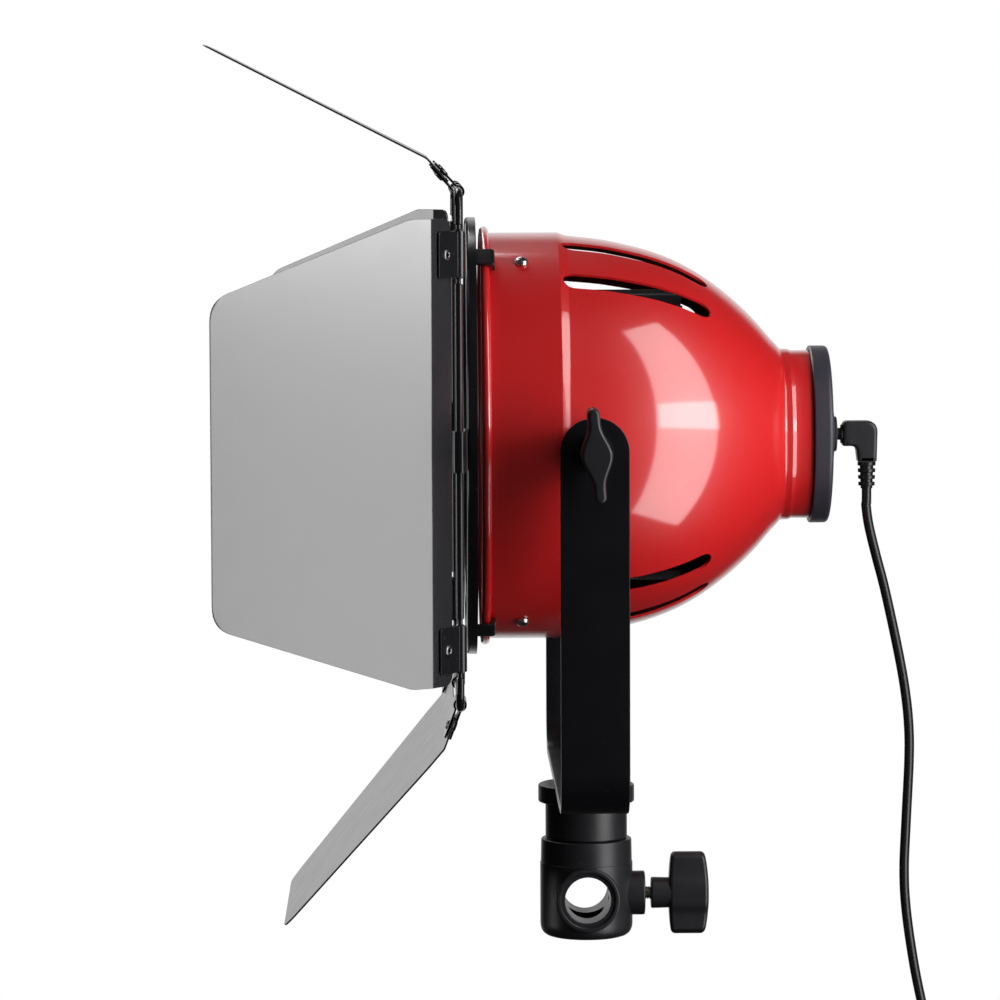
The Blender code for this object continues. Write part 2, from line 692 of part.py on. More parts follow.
def make_pivot(side, sign, lamp, yoke, shell):
    """One tilt pivot. sign is -1 on the viewer's side; local Z points out of the housing."""
    arm_inner = YOKE_HALF_SPAN - STRIP_THICKNESS
    arm_outer = YOKE_HALF_SPAN
    turn = (90, 0, 0) if sign < 0 else (-90, 0, 0)
    on_lamp = frame_empty(f"pivot_{side}", lamp, rotation=turn)
    on_yoke = frame_empty(f"arm_seat_{side}", yoke, (0, 0, AXIS_HEIGHT), turn)

    blank = [(0, NECK_REAR_X)]
    blank += [(radius + CLEARANCE, x) for x, radius in reversed(bell_outline())]
    blank += [(BAND_RADIUS + CLEARANCE, x) for x in (BAND_REAR_X, BEAD_X)]
    blank.append((0, BEAD_X))
    body = cutter(turned(f"housing_blank_{side}", blank, SHELL_STEPS), lamp, rotation=(0, 90, 0))

    spacer_end = arm_inner - 2 * CLEARANCE - FRICTION_DISC_THICKNESS
    spacer_start = 0.8 * BAND_RADIUS
    spacer = cylinder(f"pivot_spacer_{side}", SPACER_RADIUS, spacer_start, spacer_end, sides=20)
    bore = PIVOT_BOLT_RADIUS + CLEARANCE
    bolt_hole = cylinder(
        f"pivot_hole_{side}", bore, 0.5 * BAND_RADIUS, arm_outer + 20 * MM, sides=14
    )
    cutter(bolt_hole, on_lamp)
    boolean(spacer, body)
    boolean(spacer, bolt_hole)
    part(spacer, "black_steel", on_lamp)
    boolean(shell, bolt_hole)

    disc_start = spacer_end + CLEARANCE
    disc = cylinder(
        f"friction_disc_{side}",
        FRICTION_DISC_RADIUS,
        disc_start,
        disc_start + FRICTION_DISC_THICKNESS,
        sides=20,
    )
    boolean(disc, bolt_hole)
    part(disc, "fibre", on_lamp)

    wall = bell_radius_at(0) - SHEET
    sag = wall - math.sqrt(wall**2 - PIVOT_HEAD_RADIUS**2) + 1.2 * MM
    head_top = wall - sag - CLEARANCE
    knob_start = arm_outer + 2 * CLEARANCE + PIVOT_WASHER_THICKNESS
    bolt_end = knob_start + 0.6 * WING_KNOB_HEIGHT
    profile = [
        (0, bolt_end),
        (PIVOT_BOLT_RADIUS, bolt_end),
        (PIVOT_BOLT_RADIUS, head_top),
        (PIVOT_HEAD_RADIUS, head_top),
        (0.8 * PIVOT_HEAD_RADIUS, head_top - 0.7 * PIVOT_HEAD_HEIGHT),
        (0.4 * PIVOT_HEAD_RADIUS, head_top - PIVOT_HEAD_HEIGHT),
        (0, head_top - PIVOT_HEAD_HEIGHT),
    ]
    part(turned(f"pivot_bolt_{side}", profile, 14), "zinc_steel", on_lamp)

    washer = cylinder(
        f"pivot_washer_{side}",
        PIVOT_WASHER_RADIUS,
        arm_outer + CLEARANCE,
        arm_outer + CLEARANCE + PIVOT_WASHER_THICKNESS,
        sides=20,
    )
    washer_hole = cylinder(
        f"pivot_washer_hole_{side}", bore, arm_inner - 5 * MM, arm_outer + 5 * MM, sides=14
    )
    cutter(washer_hole, on_yoke)
    boolean(washer, washer_hole)
    part(washer, "zinc_steel", on_yoke)

    wing_depth = WING_KNOB_HEIGHT - WING_BASE_HEIGHT
    knob = flat_outline(f"tilt_knob_{side}", wing_outline(), wing_depth)
    height = knob_start + WING_BASE_HEIGHT + wing_depth / 2
    base = knob_start - height
    hub = cylinder(f"tilt_knob_hub_{side}", WING_HUB_RADIUS, base, 0, sides=20)
    socket = cylinder(
        f"tilt_knob_bore_{side}", bore, base - 1 * MM, bolt_end + 1 * MM - height, sides=14
    )
    lean = (0, 0, WING_LEAN)
    for tool, operation in ((hub, "UNION"), (socket, "DIFFERENCE")):
        cutter(tool, on_lamp, (0, 0, height), lean)
        boolean(knob, tool, operation)
    part(knob, "black_plastic", on_lamp, (0, 0, height), lean)
    return washer_hole


def bell_radius_at(x):
    """The housing's outer radius at a place along the lamp axis, behind the crease."""
    line = bell_outline()
    for (xa, ra), (xb, rb) in zip(line, line[1:]):
        if xa <= x <= xb:
            return ra + (rb - ra) * (x - xa) / (xb - xa)
    return line[-1][1]


def make_yoke(yoke, arm_holes):
    """The strip: a U in the YZ plane, its arms rounded off about the tilt axis."""
    top = AXIS_HEIGHT + STRIP_WIDTH / 2
    web = FLANGE_TOP_Z + CLEARANCE
    outer = YOKE_BEND_RADIUS
    inner = YOKE_BEND_RADIUS - STRIP_THICKNESS
    span = YOKE_HALF_SPAN
    right_out = arc((span - outer, web + outer), outer, -90, 0, 6)
    right_in = arc((span - outer, web + outer), inner, 0, -90, 6)
    half = [*right_out, (span, top), (span - STRIP_THICKNESS, top), *right_in]
    outline = half + [(-y, z) for y, z in reversed(half)]
    bracket = flat_outline("yoke_bracket", outline, STRIP_WIDTH)
    radius = STRIP_WIDTH / 2
    margin = 4 * MM
    crown = [(-radius - margin, 0), *arc((0, 0), radius, 180, 0, 13), (radius + margin, 0)]
    crown += [(radius + margin, radius + margin), (-radius - margin, radius + margin)]
    tool = flat_outline("arm_crown", crown, 2 * span + 20 * MM)
    cutter(tool, yoke, (0, 0, AXIS_HEIGHT), (90, 0, 0))
    boolean(bracket, tool)
    for hole in arm_holes:
        boolean(bracket, hole)
    bore = SWIVEL_BOLT_RADIUS + CLEARANCE
    bolt_hole = cylinder("swivel_bolt_hole", bore, -20 * MM, 30 * MM, sides=20)
    cutter(bolt_hole, yoke, (0, 0, FLANGE_TOP_Z))
    boolean(bracket, bolt_hole)
    part(bracket, "black_steel", yoke, rotation=(90, 0, 90))


def make_swivel(yoke):
    """The base that the yoke is bolted to, with the bolt, washer and lock nut."""
    bore = SWIVEL_BOLT_RADIUS + CLEARANCE
    seat = RECEIVER_TOP_Z + SWIVEL_SEAM
    profile = [
        (bore, FLANGE_TOP_Z),
        (FLANGE_RADIUS - 0.8 * MM, FLANGE_TOP_Z),
        (FLANGE_RADIUS, FLANGE_TOP_Z - 0.8 * MM),
        (FLANGE_RADIUS, FLANGE_TOP_Z - FLANGE_THICKNESS),
        (SWIVEL_RADIUS, FLANGE_TOP_Z - FLANGE_THICKNESS),
        (SWIVEL_RADIUS, seat),
        (SWIVEL_SPIGOT_RADIUS, seat),
        (SWIVEL_SPIGOT_RADIUS, seat - SWIVEL_SPIGOT_DEPTH),
        (bore, seat - SWIVEL_SPIGOT_DEPTH),
    ]
    part(turned("swivel_base", profile, 24, closed=True), "black_plastic", yoke)

    washer_bottom = FLANGE_TOP_Z + STRIP_THICKNESS + 2 * CLEARANCE
    washer_top = washer_bottom + SWIVEL_WASHER_THICKNESS
    ring = [
        (bore, washer_top),
        (SWIVEL_WASHER_RADIUS, washer_top),
        (SWIVEL_WASHER_RADIUS, washer_bottom),
        (bore, washer_bottom),
    ]
    part(turned("swivel_washer", ring, 24, closed=True), "zinc_steel", yoke)

    head_bottom = washer_top + CLEARANCE
    nut_top = cup_floor_bottom() - CLEARANCE
    bolt_tip = nut_top - SWIVEL_NUT_HEIGHT - 1.5 * MM
    bolt = cylinder("swivel_bolt", SWIVEL_BOLT_RADIUS, bolt_tip, head_bottom + 1 * MM, sides=20)
    head_top = head_bottom + HEX_HEAD_HEIGHT
    head = cylinder("swivel_bolt_head", HEX_RADIUS, head_bottom, head_top, sides=6)
    cutter(head, yoke)
    boolean(bolt, head, "UNION")
    part(bolt, "zinc_steel", yoke)

    nut = cylinder("swivel_nut", HEX_RADIUS, nut_top - SWIVEL_NUT_HEIGHT, nut_top, sides=6)
    hole = cylinder("swivel_nut_hole", bore, bolt_tip - 5 * MM, nut_top + 5 * MM, sides=20)
    cutter(hole, yoke)
    boolean(nut, hole)
    part(nut, "zinc_steel", yoke, smooth=False)


def cup_floor_bottom():
    return RECEIVER_TOP_Z - SWIVEL_SPIGOT_DEPTH - CUP_FLOOR_THICKNESS


def make_receiver():
    """The moulded receiver: a cup for the swivel, the stud socket, a cross bore and the clamp boss."""
    top = RECEIVER_TOP_Z
    fillet = RECEIVER_FILLET
    round_foot = [
        (RECEIVER_RADIUS - fillet + fillet * math.cos(a), fillet - fillet * math.sin(a))
        for a in (math.radians(22.5 * k) for k in range(5))
    ]
    recess = SWIVEL_SPIGOT_RADIUS + CLEARANCE
    recess_z = top - SWIVEL_SPIGOT_DEPTH
    profile = [
        (0, recess_z),
        (recess, recess_z),
        (recess, top),
        (RECEIVER_TOP_RADIUS, top),
        (RECEIVER_RADIUS - RECEIVER_STEP, RECEIVER_STEP_Z + RECEIVER_STEP),
        (RECEIVER_RADIUS, RECEIVER_STEP_Z),
        *round_foot,
        (0, 0),
    ]
    receiver = turned("receiver_body", profile, 24)
    cross = frame_empty("cross_bore_axis", None, (0, 0, CROSS_BORE_Z), (90, 0, 0))
    side = frame_empty("clamp_axis", None, (0, 0, CROSS_BORE_Z), (0, 90, 0))
    face = CROSS_BOSS_FACE_Y
    floor = face - CROSS_RECESS_DEPTH
    past = face + 5 * MM
    cross_boss = cylinder("cross_boss", CROSS_BOSS_RADIUS, -face, face, sides=24)
    clamp_boss = cylinder("clamp_boss", CLAMP_BOSS_RADIUS, 12 * MM, CLAMP_BOSS_END_X, sides=20)
    cross_bore = cylinder("cross_bore", CROSS_BORE_RADIUS, -past, past, sides=20)
    recess_near = cylinder("cross_recess_near", CROSS_RECESS_RADIUS, floor, past, sides=20)
    recess_far = cylinder("cross_recess_far", CROSS_RECESS_RADIUS, -past, -floor, sides=20)
    stud_bore = cylinder("stud_bore", STUD_BORE_RADIUS, -5 * MM, cup_floor_bottom(), sides=20)
    bolt_bore = SWIVEL_BOLT_RADIUS + CLEARANCE
    swivel_hole = cylinder("cup_floor_hole", bolt_bore, 10 * MM, top + 5 * MM, sides=14)
    screw_bore = CLAMP_SCREW_RADIUS + CLEARANCE
    clamp_hole = cylinder("clamp_hole", screw_bore, 3 * MM, 40 * MM, sides=14)
    for tool, holder, operation in (
        (cross_boss, cross, "UNION"),
        (clamp_boss, side, "UNION"),
        (cross_bore, cross, "DIFFERENCE"),
        (recess_near, cross, "DIFFERENCE"),
        (recess_far, cross, "DIFFERENCE"),
        (stud_bore, None, "DIFFERENCE"),
        (swivel_hole, None, "DIFFERENCE"),
        (clamp_hole, side, "DIFFERENCE"),
    ):
        cutter(tool, holder, rotation=(0, 0, FACET_TURN))
        boolean(receiver, tool, operation)
    part(receiver, "black_plastic")
    return side


def make_clamp(side):
    """The screw that grips the stud, and its lever knob. Local Z runs outwards along the screw."""
    tip = CLAMP_SCREW_TIP_X
    end = CLAMP_HUB_START_X + CLAMP_SOCKET_DEPTH - 1 * MM
    radius = CLAMP_SCREW_RADIUS
    profile = [(0, end), (radius, end), (radius, tip + 1 * MM), (radius - 1 * MM, tip), (0, tip)]
    part(turned("clamp_screw", profile, 20), "zinc_steel", side)

    depth = CLAMP_LEVER_END_X - CLAMP_LEVER_START_X
    half = CLAMP_LEVER_HALF_LENGTH
    thick = CLAMP_LEVER_THICKNESS / 2
    waist = 0.78 * thick
    corner = arc((half - thick, 0), thick, 70, -70, 6)
    upper = [(0.0, CLAMP_HUB_RADIUS), (0.35 * half, 0.92 * CLAMP_HUB_RADIUS), (0.6 * half, waist)]
    arm = upper[1:] + corner + [(x, -y) for x, y in reversed(upper[1:])]
    outline = [upper[0], *arm, (0.0, -CLAMP_HUB_RADIUS)] + [(-x, -y) for x, y in arm]
    lever = flat_outline("clamp_knob", outline, depth)
    hub_start = CLAMP_HUB_START_X
    hub_end = CLAMP_LEVER_START_X + 1 * MM
    hub = cylinder("clamp_knob_hub", CLAMP_HUB_RADIUS, hub_start, hub_end, sides=24)
    bore_end = hub_start + CLAMP_SOCKET_DEPTH
    bore = cylinder("clamp_knob_bore", radius + CLEARANCE, hub_start - 1 * MM, bore_end, sides=20)
    for tool, operation in ((hub, "UNION"), (bore, "DIFFERENCE")):
        cutter(tool, side)
        boolean(lever, tool, operation)
    part(lever, "black_plastic", side, (0, 0, (CLAMP_LEVER_START_X + CLAMP_LEVER_END_X) / 2))


def strap_section(rod_gap, sheet, half_gap, tail):
    """A sheet folded round the rod at the origin, its two tails along +X with a gap between them."""
    inner = ROD_RADIUS + rod_gap
    outer = inner + sheet
    inner_turn = math.degrees(math.asin(half_gap / inner))
    outer_turn = math.degrees(math.asin((half_gap + sheet) / outer))
    outside = arc((0, 0), outer, outer_turn, 360 - outer_turn, 8)
    inside = arc((0, 0), inner, 360 - inner_turn, inner_turn, 8)
    return [
        (tail, half_gap + sheet),
        *outside,
        (tail, -half_gap - sheet),
        (tail, -half_gap),
        *inside,
        (tail, half_gap),
    ]


def make_ring(lamp):
    """The ring plate, a shallow channel with a lip at each edge."""
    front = RING_FRONT_X
    rear = RING_FRONT_X + RING_DEPTH
    sheet = RING_SHEET
    edge = RING_EDGE
    profile = [
        (RING_RADIUS - sheet, rear),
        (RING_RADIUS, rear),
        (RING_RADIUS, front + edge),
        (RING_RADIUS - 0.3 * edge, front + 0.3 * edge),
        (RING_RADIUS - edge, front),
        (RING_HOLE_RADIUS, front),
        (RING_HOLE_RADIUS, front + 3 * sheet),
        (RING_HOLE_RADIUS + sheet, front + 3 * sheet),
        (RING_HOLE_RADIUS + sheet, front + sheet),
        (RING_RADIUS - sheet - 0.4 * edge, front + sheet),
        (RING_RADIUS - sheet, front + sheet + 0.4 * edge),
    ]
    plate = turned("ring_plate", profile, RING_STEPS, closed=True)
    part(plate, "gloss_black", lamp, rotation=(0, 90, 0))


def make_hooks(lamp):
    """Three sheet hooks, seated inside the ring's lip, that reach back over the housing's bead."""
    bead_top = BAND_RADIUS - SHEET / 2 + 2 * BEAD_ROLL_RADIUS + SHEET / 2
    base_front = RING_FRONT_X + RING_SHEET + CLEARANCE
    low = RING_HOLE_RADIUS + RING_SHEET + 1.2 * MM
    over = bead_top + RUNNING_GAP
    rear = HOOK_REAR_X
    sheet = HOOK_SHEET
    inner_catch = BAND_RADIUS + RUNNING_GAP
    turn = HOOK_TURN
    soft = HOOK_OUTER_TURN
    outline = [
        (base_front, low),
        (base_front + sheet, low),
        (base_front + sheet, over - 0.3 * MM),
        (base_front + sheet + 0.6 * MM, over),
        (rear - sheet - turn, over),
        (rear - sheet - 0.3 * turn, over - 0.3 * turn),
        (rear - sheet, over - turn),
        (rear - sheet, inner_catch),
        (rear, inner_catch),
        (rear, over + sheet - soft),
        (rear - 0.3 * soft, over + sheet - 0.3 * soft),
        (rear - soft, over + sheet),
        (base_front + 0.8 * MM, over + sheet),
        (base_front, over + sheet - 0.8 * MM),
    ]
    for k, angle in enumerate(HOOK_ANGLES, 1):
        holder = frame_empty(f"hook_place_{k}", lamp, rotation=(angle, 0, 0))
        hook = flat_outline(f"ring_hook_{k}", outline, HOOK_WIDTH)
        part(hook, "gloss_black", holder, rotation=(90, 0, 0), smooth=False)


def make_rods(lamp):
    """The square of rod that the leaves hinge on."""
    half = ROD_HALF_SPAN
    r = ROD_CORNER_RADIUS
    points = []
    for sy, sz, start in ((1, 1, 0), (-1, 1, 90), (-1, -1, 180), (1, -1, 270)):
        centre = (sy * (half - r), sz * (half - r))
        points += [(ROD_X, y, z) for y, z in arc(centre, r, start, start + 90, 4)]
    rods = tube("door_rods", points, ROD_RADIUS, 2, cyclic=True)
    part(rods, "gloss_black", lamp)


def make_tab(name, side):
    """A strap welded to the ring's face and folded round the middle of a rod; local Z points outwards."""
    middle = ROD_RADIUS + STRAP_BORE_GAP + TAB_SHEET / 2
    line = [*arc((0, 0), middle, TAB_CURL, 0, 12), (middle, -TAB_REACH)]
    half = TAB_WIDTH / 2
    made = bmesh.new()
    rows = [(made.verts.new((x, half, z)), made.verts.new((x, -half, z))) for x, z in line]
    for (left_a, right_a), (left_b, right_b) in zip(rows, rows[1:]):
        made.faces.new((left_a, right_a, right_b, left_b))
    tab = mesh_object(name, made)
    thick = tab.modifiers.new("sheet", "SOLIDIFY")
    thick.thickness = TAB_SHEET
    thick.offset = 0
    thick.use_even_offset = True
    return part(tab, "gloss_black", side, (ROD_X, 0, ROD_HALF_SPAN))


def make_leaf(name, hinge):
    """A leaf and its two straps. In the hinge's frame the leaf runs along +X and the rod along Y."""
    a = math.radians(LEAF_BEND)
    fold = LEAF_FLANGE
    bend_span = 2.0 * MM
    straight = LEAF_STRAIGHT
    made = bmesh.new()

    def at(u, w):
        """The point of the leaf's middle surface at distance u from the rod, w along it."""
        flange = min(u, fold)
        main = max(0.0, u - fold)
        return made.verts.new((flange * math.cos(a) + main, w, flange * math.sin(a)))

    corner = LEAF_ROOT_CORNER
    root = arc((LEAF_EDGE_GAP + corner, LEAF_HALF_WIDTH - corner), corner, 180, 90, 4)
    corner = LEAF_TIP_CORNER
    slope = math.atan2(LEAF_HALF_WIDTH - LEAF_TIP_HALF_WIDTH, LEAF_LENGTH - straight)
    tip_w = LEAF_TIP_HALF_WIDTH - corner * (1 / math.cos(slope) - math.tan(slope))
    tip = arc((LEAF_LENGTH - corner, tip_w), corner, 90 - math.degrees(slope), 0, 5)
    upper = [*root, (fold - bend_span, LEAF_HALF_WIDTH), (fold, LEAF_HALF_WIDTH)]
    upper += [(fold + bend_span, LEAF_HALF_WIDTH), (straight, LEAF_HALF_WIDTH), *tip]
    rows = [(at(u, w), at(u, -w)) for u, w in upper]
    for (top_a, low_a), (top_b, low_b) in zip(rows, rows[1:]):
        made.faces.new((top_a, low_a, low_b, top_b))
    leaf = mesh_object(f"leaf_{name}", made)
    thick = leaf.modifiers.new("sheet", "SOLIDIFY")
    thick.thickness = LEAF_SHEET
    thick.offset = 0
    part(leaf, "leaf_sheet", hinge, smooth=False)

    half_gap = LEAF_SHEET / 2 + CLEARANCE
    section = strap_section(STRAP_BORE_GAP, STRAP_SHEET, half_gap, STRAP_LENGTH)
    flange_frame = frame_empty(f"leaf_{name}_flange", hinge, rotation=(0, -LEAF_BEND, 0))
    surface = half_gap + STRAP_SHEET
    rivet_bore = RIVET_RADIUS + CLEARANCE
    for label, sign in (("a", 1), ("b", -1)):
        strap = flat_outline(f"hinge_strap_{name}_{label}", section, STRAP_WIDTH)
        rivet_head = surface + RIVET_HEAD_HEIGHT
        sink = 0.3 * MM
        profile = [
            (0, rivet_head),
            (0.75 * RIVET_HEAD_RADIUS, rivet_head),
            (RIVET_HEAD_RADIUS, surface - sink),
            (RIVET_RADIUS, surface - sink),
            (RIVET_RADIUS, sink - surface),
            (RIVET_HEAD_RADIUS, sink - surface),
            (0.75 * RIVET_HEAD_RADIUS, -rivet_head),
            (0, -rivet_head),
        ]
        where = (RIVET_REACH, sign * STRAP_OFFSET, 0)
        rivet = cutter(turned(f"rivet_{name}_{label}", profile, 8), flange_frame, where)
        hole = cutter(
            cylinder(f"rivet_hole_{name}_{label}", rivet_bore, -3 * MM, 3 * MM, sides=8),
            flange_frame,
            where,
        )
        boolean(strap, rivet, "UNION")
        boolean(leaf, hole)
        part(strap, "gloss_black", flange_frame, (0, sign * STRAP_OFFSET, 0), (90, 0, 0))


def make_plug(lamp, socket_front):
    """The right-angled plug: a metal barrel in the socket, a moulded elbow, and a ribbed strain relief."""
    body_x = socket_front + PLUG_GAP_X
    end_x = body_x + PLUG_LENGTH
    barrel_start = socket_front - BARREL_LENGTH
    barrel_end = body_x + PLUG_BARREL_HOLD
    profile = [
        (BARREL_BORE_RADIUS, barrel_end),
        (BARREL_RADIUS, barrel_end),
        (BARREL_RADIUS, barrel_start),
        (BARREL_BORE_RADIUS, barrel_start),
    ]
    part(turned("plug_barrel", profile, 16, closed=True), "zinc_steel", lamp, rotation=(0, 90, 0))

    w = PLUG_HALF_WIDTH
    leg_x = end_x - PLUG_LEG_WIDTH
    r = PLUG_CORNER
    outline = [(body_x, -w), *arc((leg_x - r, -w - r), r, 90, 0, 4), (leg_x, -PLUG_LEG_DROP)]
    outline += [(end_x, -PLUG_LEG_DROP), *arc((end_x - 2 * r, PLUG_TOP - 2 * r), 2 * r, 0, 90, 5)]
    outline += [(body_x + r, PLUG_TOP), (body_x, PLUG_TOP - r)]
    elbow = flat_outline("plug_elbow", outline, 2 * w)
    bore = BARREL_RADIUS + CLEARANCE
    hole = cylinder("plug_barrel_hole", bore, body_x - 5 * MM, barrel_end + CLEARANCE, sides=20)
    soft = elbow.modifiers.new("edges", "BEVEL")
    soft.width = PLUG_EDGE
    soft.segments = 1
    soft.limit_method = "ANGLE"
    soft.angle_limit = math.radians(50)
    cutter(hole, lamp, rotation=(0, 90, 0))
    boolean(elbow, hole)
    part(elbow, "black_plastic", lamp, rotation=(90, 0, 0))

    leg_middle = end_x - PLUG_LEG_WIDTH / 2
    top = -PLUG_LEG_DROP - CLEARANCE
    bottom = top - RELIEF_LENGTH
    bore = CORD_RADIUS + CLEARANCE
    steps = 2 * RELIEF_RIBS
    outer = []
    for k in range(steps):
        radius = RELIEF_RADIUS if k % 2 == 0 else RELIEF_RADIUS - RELIEF_GROOVE
        taper = 1 - 0.12 * k / steps
        outer.append((radius * taper, top - RELIEF_LENGTH * (k + 0.12) / steps))
        outer.append((radius * taper, top - RELIEF_LENGTH * (k + 0.88) / steps))
    cord_seat = bottom + RELIEF_HOLD
    mouth = [(bore + 0.5 * MM, bottom), (bore, bottom), (bore, cord_seat), (0, cord_seat)]
    profile = [(0, top), *outer, *mouth]
    part(turned("strain_relief", profile, 12), "black_plastic", lamp, (leg_middle, 0, 0))
    return (leg_middle, AXIS_HEIGHT + cord_seat - CLEARANCE)


def coil_path():
    """The coil's centreline: in the XZ plane, in along one layer and out along the other."""
    cx, cy, cz = COIL_CENTRE
    layer = COIL_PITCH / 2
    half_turns = COIL_TURNS / 2
    points = []
    tail_turns = COIL_START_ANGLE / 360
    count = round((COIL_TURNS + tail_turns) * COIL_POINTS_PER_TURN)
    for k in range(count + 1):
        turns = (COIL_TURNS + tail_turns) * k / count
        radius = COIL_OUTER_RADIUS - COIL_PITCH * (half_turns - abs(half_turns - turns))
        climb = min(1.0, max(0.0, (turns - (half_turns - 0.25)) / 0.5))
        y = cy - layer + 2 * layer * climb * climb * (3 - 2 * climb)
        a = math.radians(COIL_START_ANGLE - 360 * turns)
        points.append(Vector((cx + radius * math.cos(a), y, cz + radius * math.sin(a))))
    start_run = (points[0] - points[1]).normalized() * 2 * CORD_RADIUS
    end_run = Vector((0, 0, -COIL_TAIL))
    return [points[0] + start_run, *points, points[-1] + end_run]


def make_lead(exit_x, exit_z):
    """The hanging lead, the coil of its spare length, the coil's tie, and the connector at its end."""
    coil = coil_path()
    run = (coil[0] - coil[1]).normalized()
    meet = coil[0] + run * CLEARANCE
    route = [Vector((exit_x, 0, exit_z)), Vector((exit_x, 0, exit_z - 4 * CORD_RADIUS))]
    total = len(CORD_ROUTE)
    for k, (x, z) in enumerate(CORD_ROUTE):
        share = max(0.0, (k - total / 2) / (total / 2))
        route.append(Vector((x * MM, meet.y * share, z * MM)))
    route += [meet + run * 2 * CORD_RADIUS, meet]
    part(tube("power_lead", smooth_through(route, 2), CORD_RADIUS, 2), "cord_rubber")
    part(tube("lead_coil", coil, CORD_RADIUS, 1), "cord_rubber")
    gaps = [
        (coil[i] - coil[j]).length - 2 * CORD_RADIUS
        for i in range(len(coil))
        for j in range(i + COIL_POINTS_PER_TURN // 2, len(coil))
    ]
    print(f"coil: least gap to itself {min(gaps) / MM:.2f} mm")

    deep = COIL_OUTER_RADIUS - COIL_PITCH * COIL_TURNS / 2
    low = math.sqrt((deep - CORD_RADIUS) ** 2 - (TIE_WIDTH / 2) ** 2) - TIE_SLACK
    high = COIL_OUTER_RADIUS + COIL_PITCH * COIL_START_ANGLE / 360 + CORD_RADIUS + TIE_SLACK
    half = COIL_PITCH / 2 + CORD_RADIUS + TIE_SLACK
    t = TIE_THICKNESS
    inner = [(low, -half), (high, -half), (high, half), (low, half)]
    far = half + t
    outer = [(low - t, -far), (high + t, -far), (high + t, far), (low - t, far)]
    tie = flat_outline("coil_tie", outer, TIE_WIDTH, holes=(inner,))
    holder = frame_empty("coil_tie_place", None, COIL_CENTRE, (0, -TIE_ANGLE, 0))
    part(tie, "black_plastic", holder, smooth=False)

    top = coil[-1].z - CLEARANCE
    length = CONNECTOR_LENGTH
    bore = BARREL_RADIUS + CLEARANCE
    floor = CONNECTOR_BORE_DEPTH - length
    pin_end = 1.5 * MM - length
    profile = [
        (0, 0),
        (0.6 * CONNECTOR_RADIUS, 0),
        (0.72 * CONNECTOR_RADIUS, -0.25 * length),
        (CONNECTOR_RADIUS, -0.33 * length),
        (CONNECTOR_RADIUS, -length),
        (bore, -length),
        (bore, floor),
        (SOCKET_PIN_RADIUS, floor),
        (SOCKET_PIN_RADIUS, pin_end),
        (0, pin_end),
    ]
    part(turned("lead_connector", profile, 16), "black_plastic", None, (coil[-1].x, coil[-1].y, top))


clear_scene()
PIECES = collection("led_studio_light")
CUTTERS = collection("cutters")
make_materials()

clamp_frame = make_receiver()
make_clamp(clamp_frame)

yoke_frame = frame_empty("pan_axis")
lamp_frame = frame_empty("tilt_axis", yoke_frame, (0, 0, AXIS_HEIGHT))
make_swivel(yoke_frame)
housing = make_housing(lamp_frame)
holes = [
    make_pivot("near", -1, lamp_frame, yoke_frame, housing),
    make_pivot("far", 1, lamp_frame, yoke_frame, housing),
]
make_yoke(yoke_frame, holes)
cap_face = make_rear_cap(lamp_frame)
socket_face = make_socket(lamp_frame, cap_face)
make_heat_sink(lamp_frame)
make_carrier(lamp_frame, housing)
make_light_source(lamp_frame)
lead_exit = make_plug(lamp_frame, socket_face)
make_lead(*lead_exit)

door_frame = frame_empty("door_ring_axis", lamp_frame)
make_ring(door_frame)
make_hooks(door_frame)
make_rods(door_frame)
for leaf_name, side_angle, opening in zip(LEAF_NAMES, LEAF_SIDE_ANGLES, LEAF_OPENINGS):
    side_frame = frame_empty(f"door_side_{leaf_name}", door_frame, rotation=(side_angle, 0, 0))
    make_tab(f"rod_tab_{leaf_name}", side_frame)
    hinge_frame = frame_empty(
        f"leaf_{leaf_name}_hinge", side_frame, (ROD_X, 0, ROD_HALF_SPAN), (0, -opening, 180)
    )
    make_leaf(leaf_name, hinge_frame)
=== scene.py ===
"""The looks of a studio lamp head: enamelled housing, barn doors, yoke, stand receiver and lead.

Lengths are in millimetres until new_piece() turns a mesh into metres. The camera and the lamps are in
metres, and so are the scales of a finish; its bump depth is in millimetres. The frame is the part's
own: +Z up, the beam leaves along -X, and the tilt axis is parallel to Y. Places and sizes come from
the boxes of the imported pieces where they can.
"""

import json
import math

import bmesh
import bpy
import numpy as np
from mathutils import Matrix, Quaternion, Vector

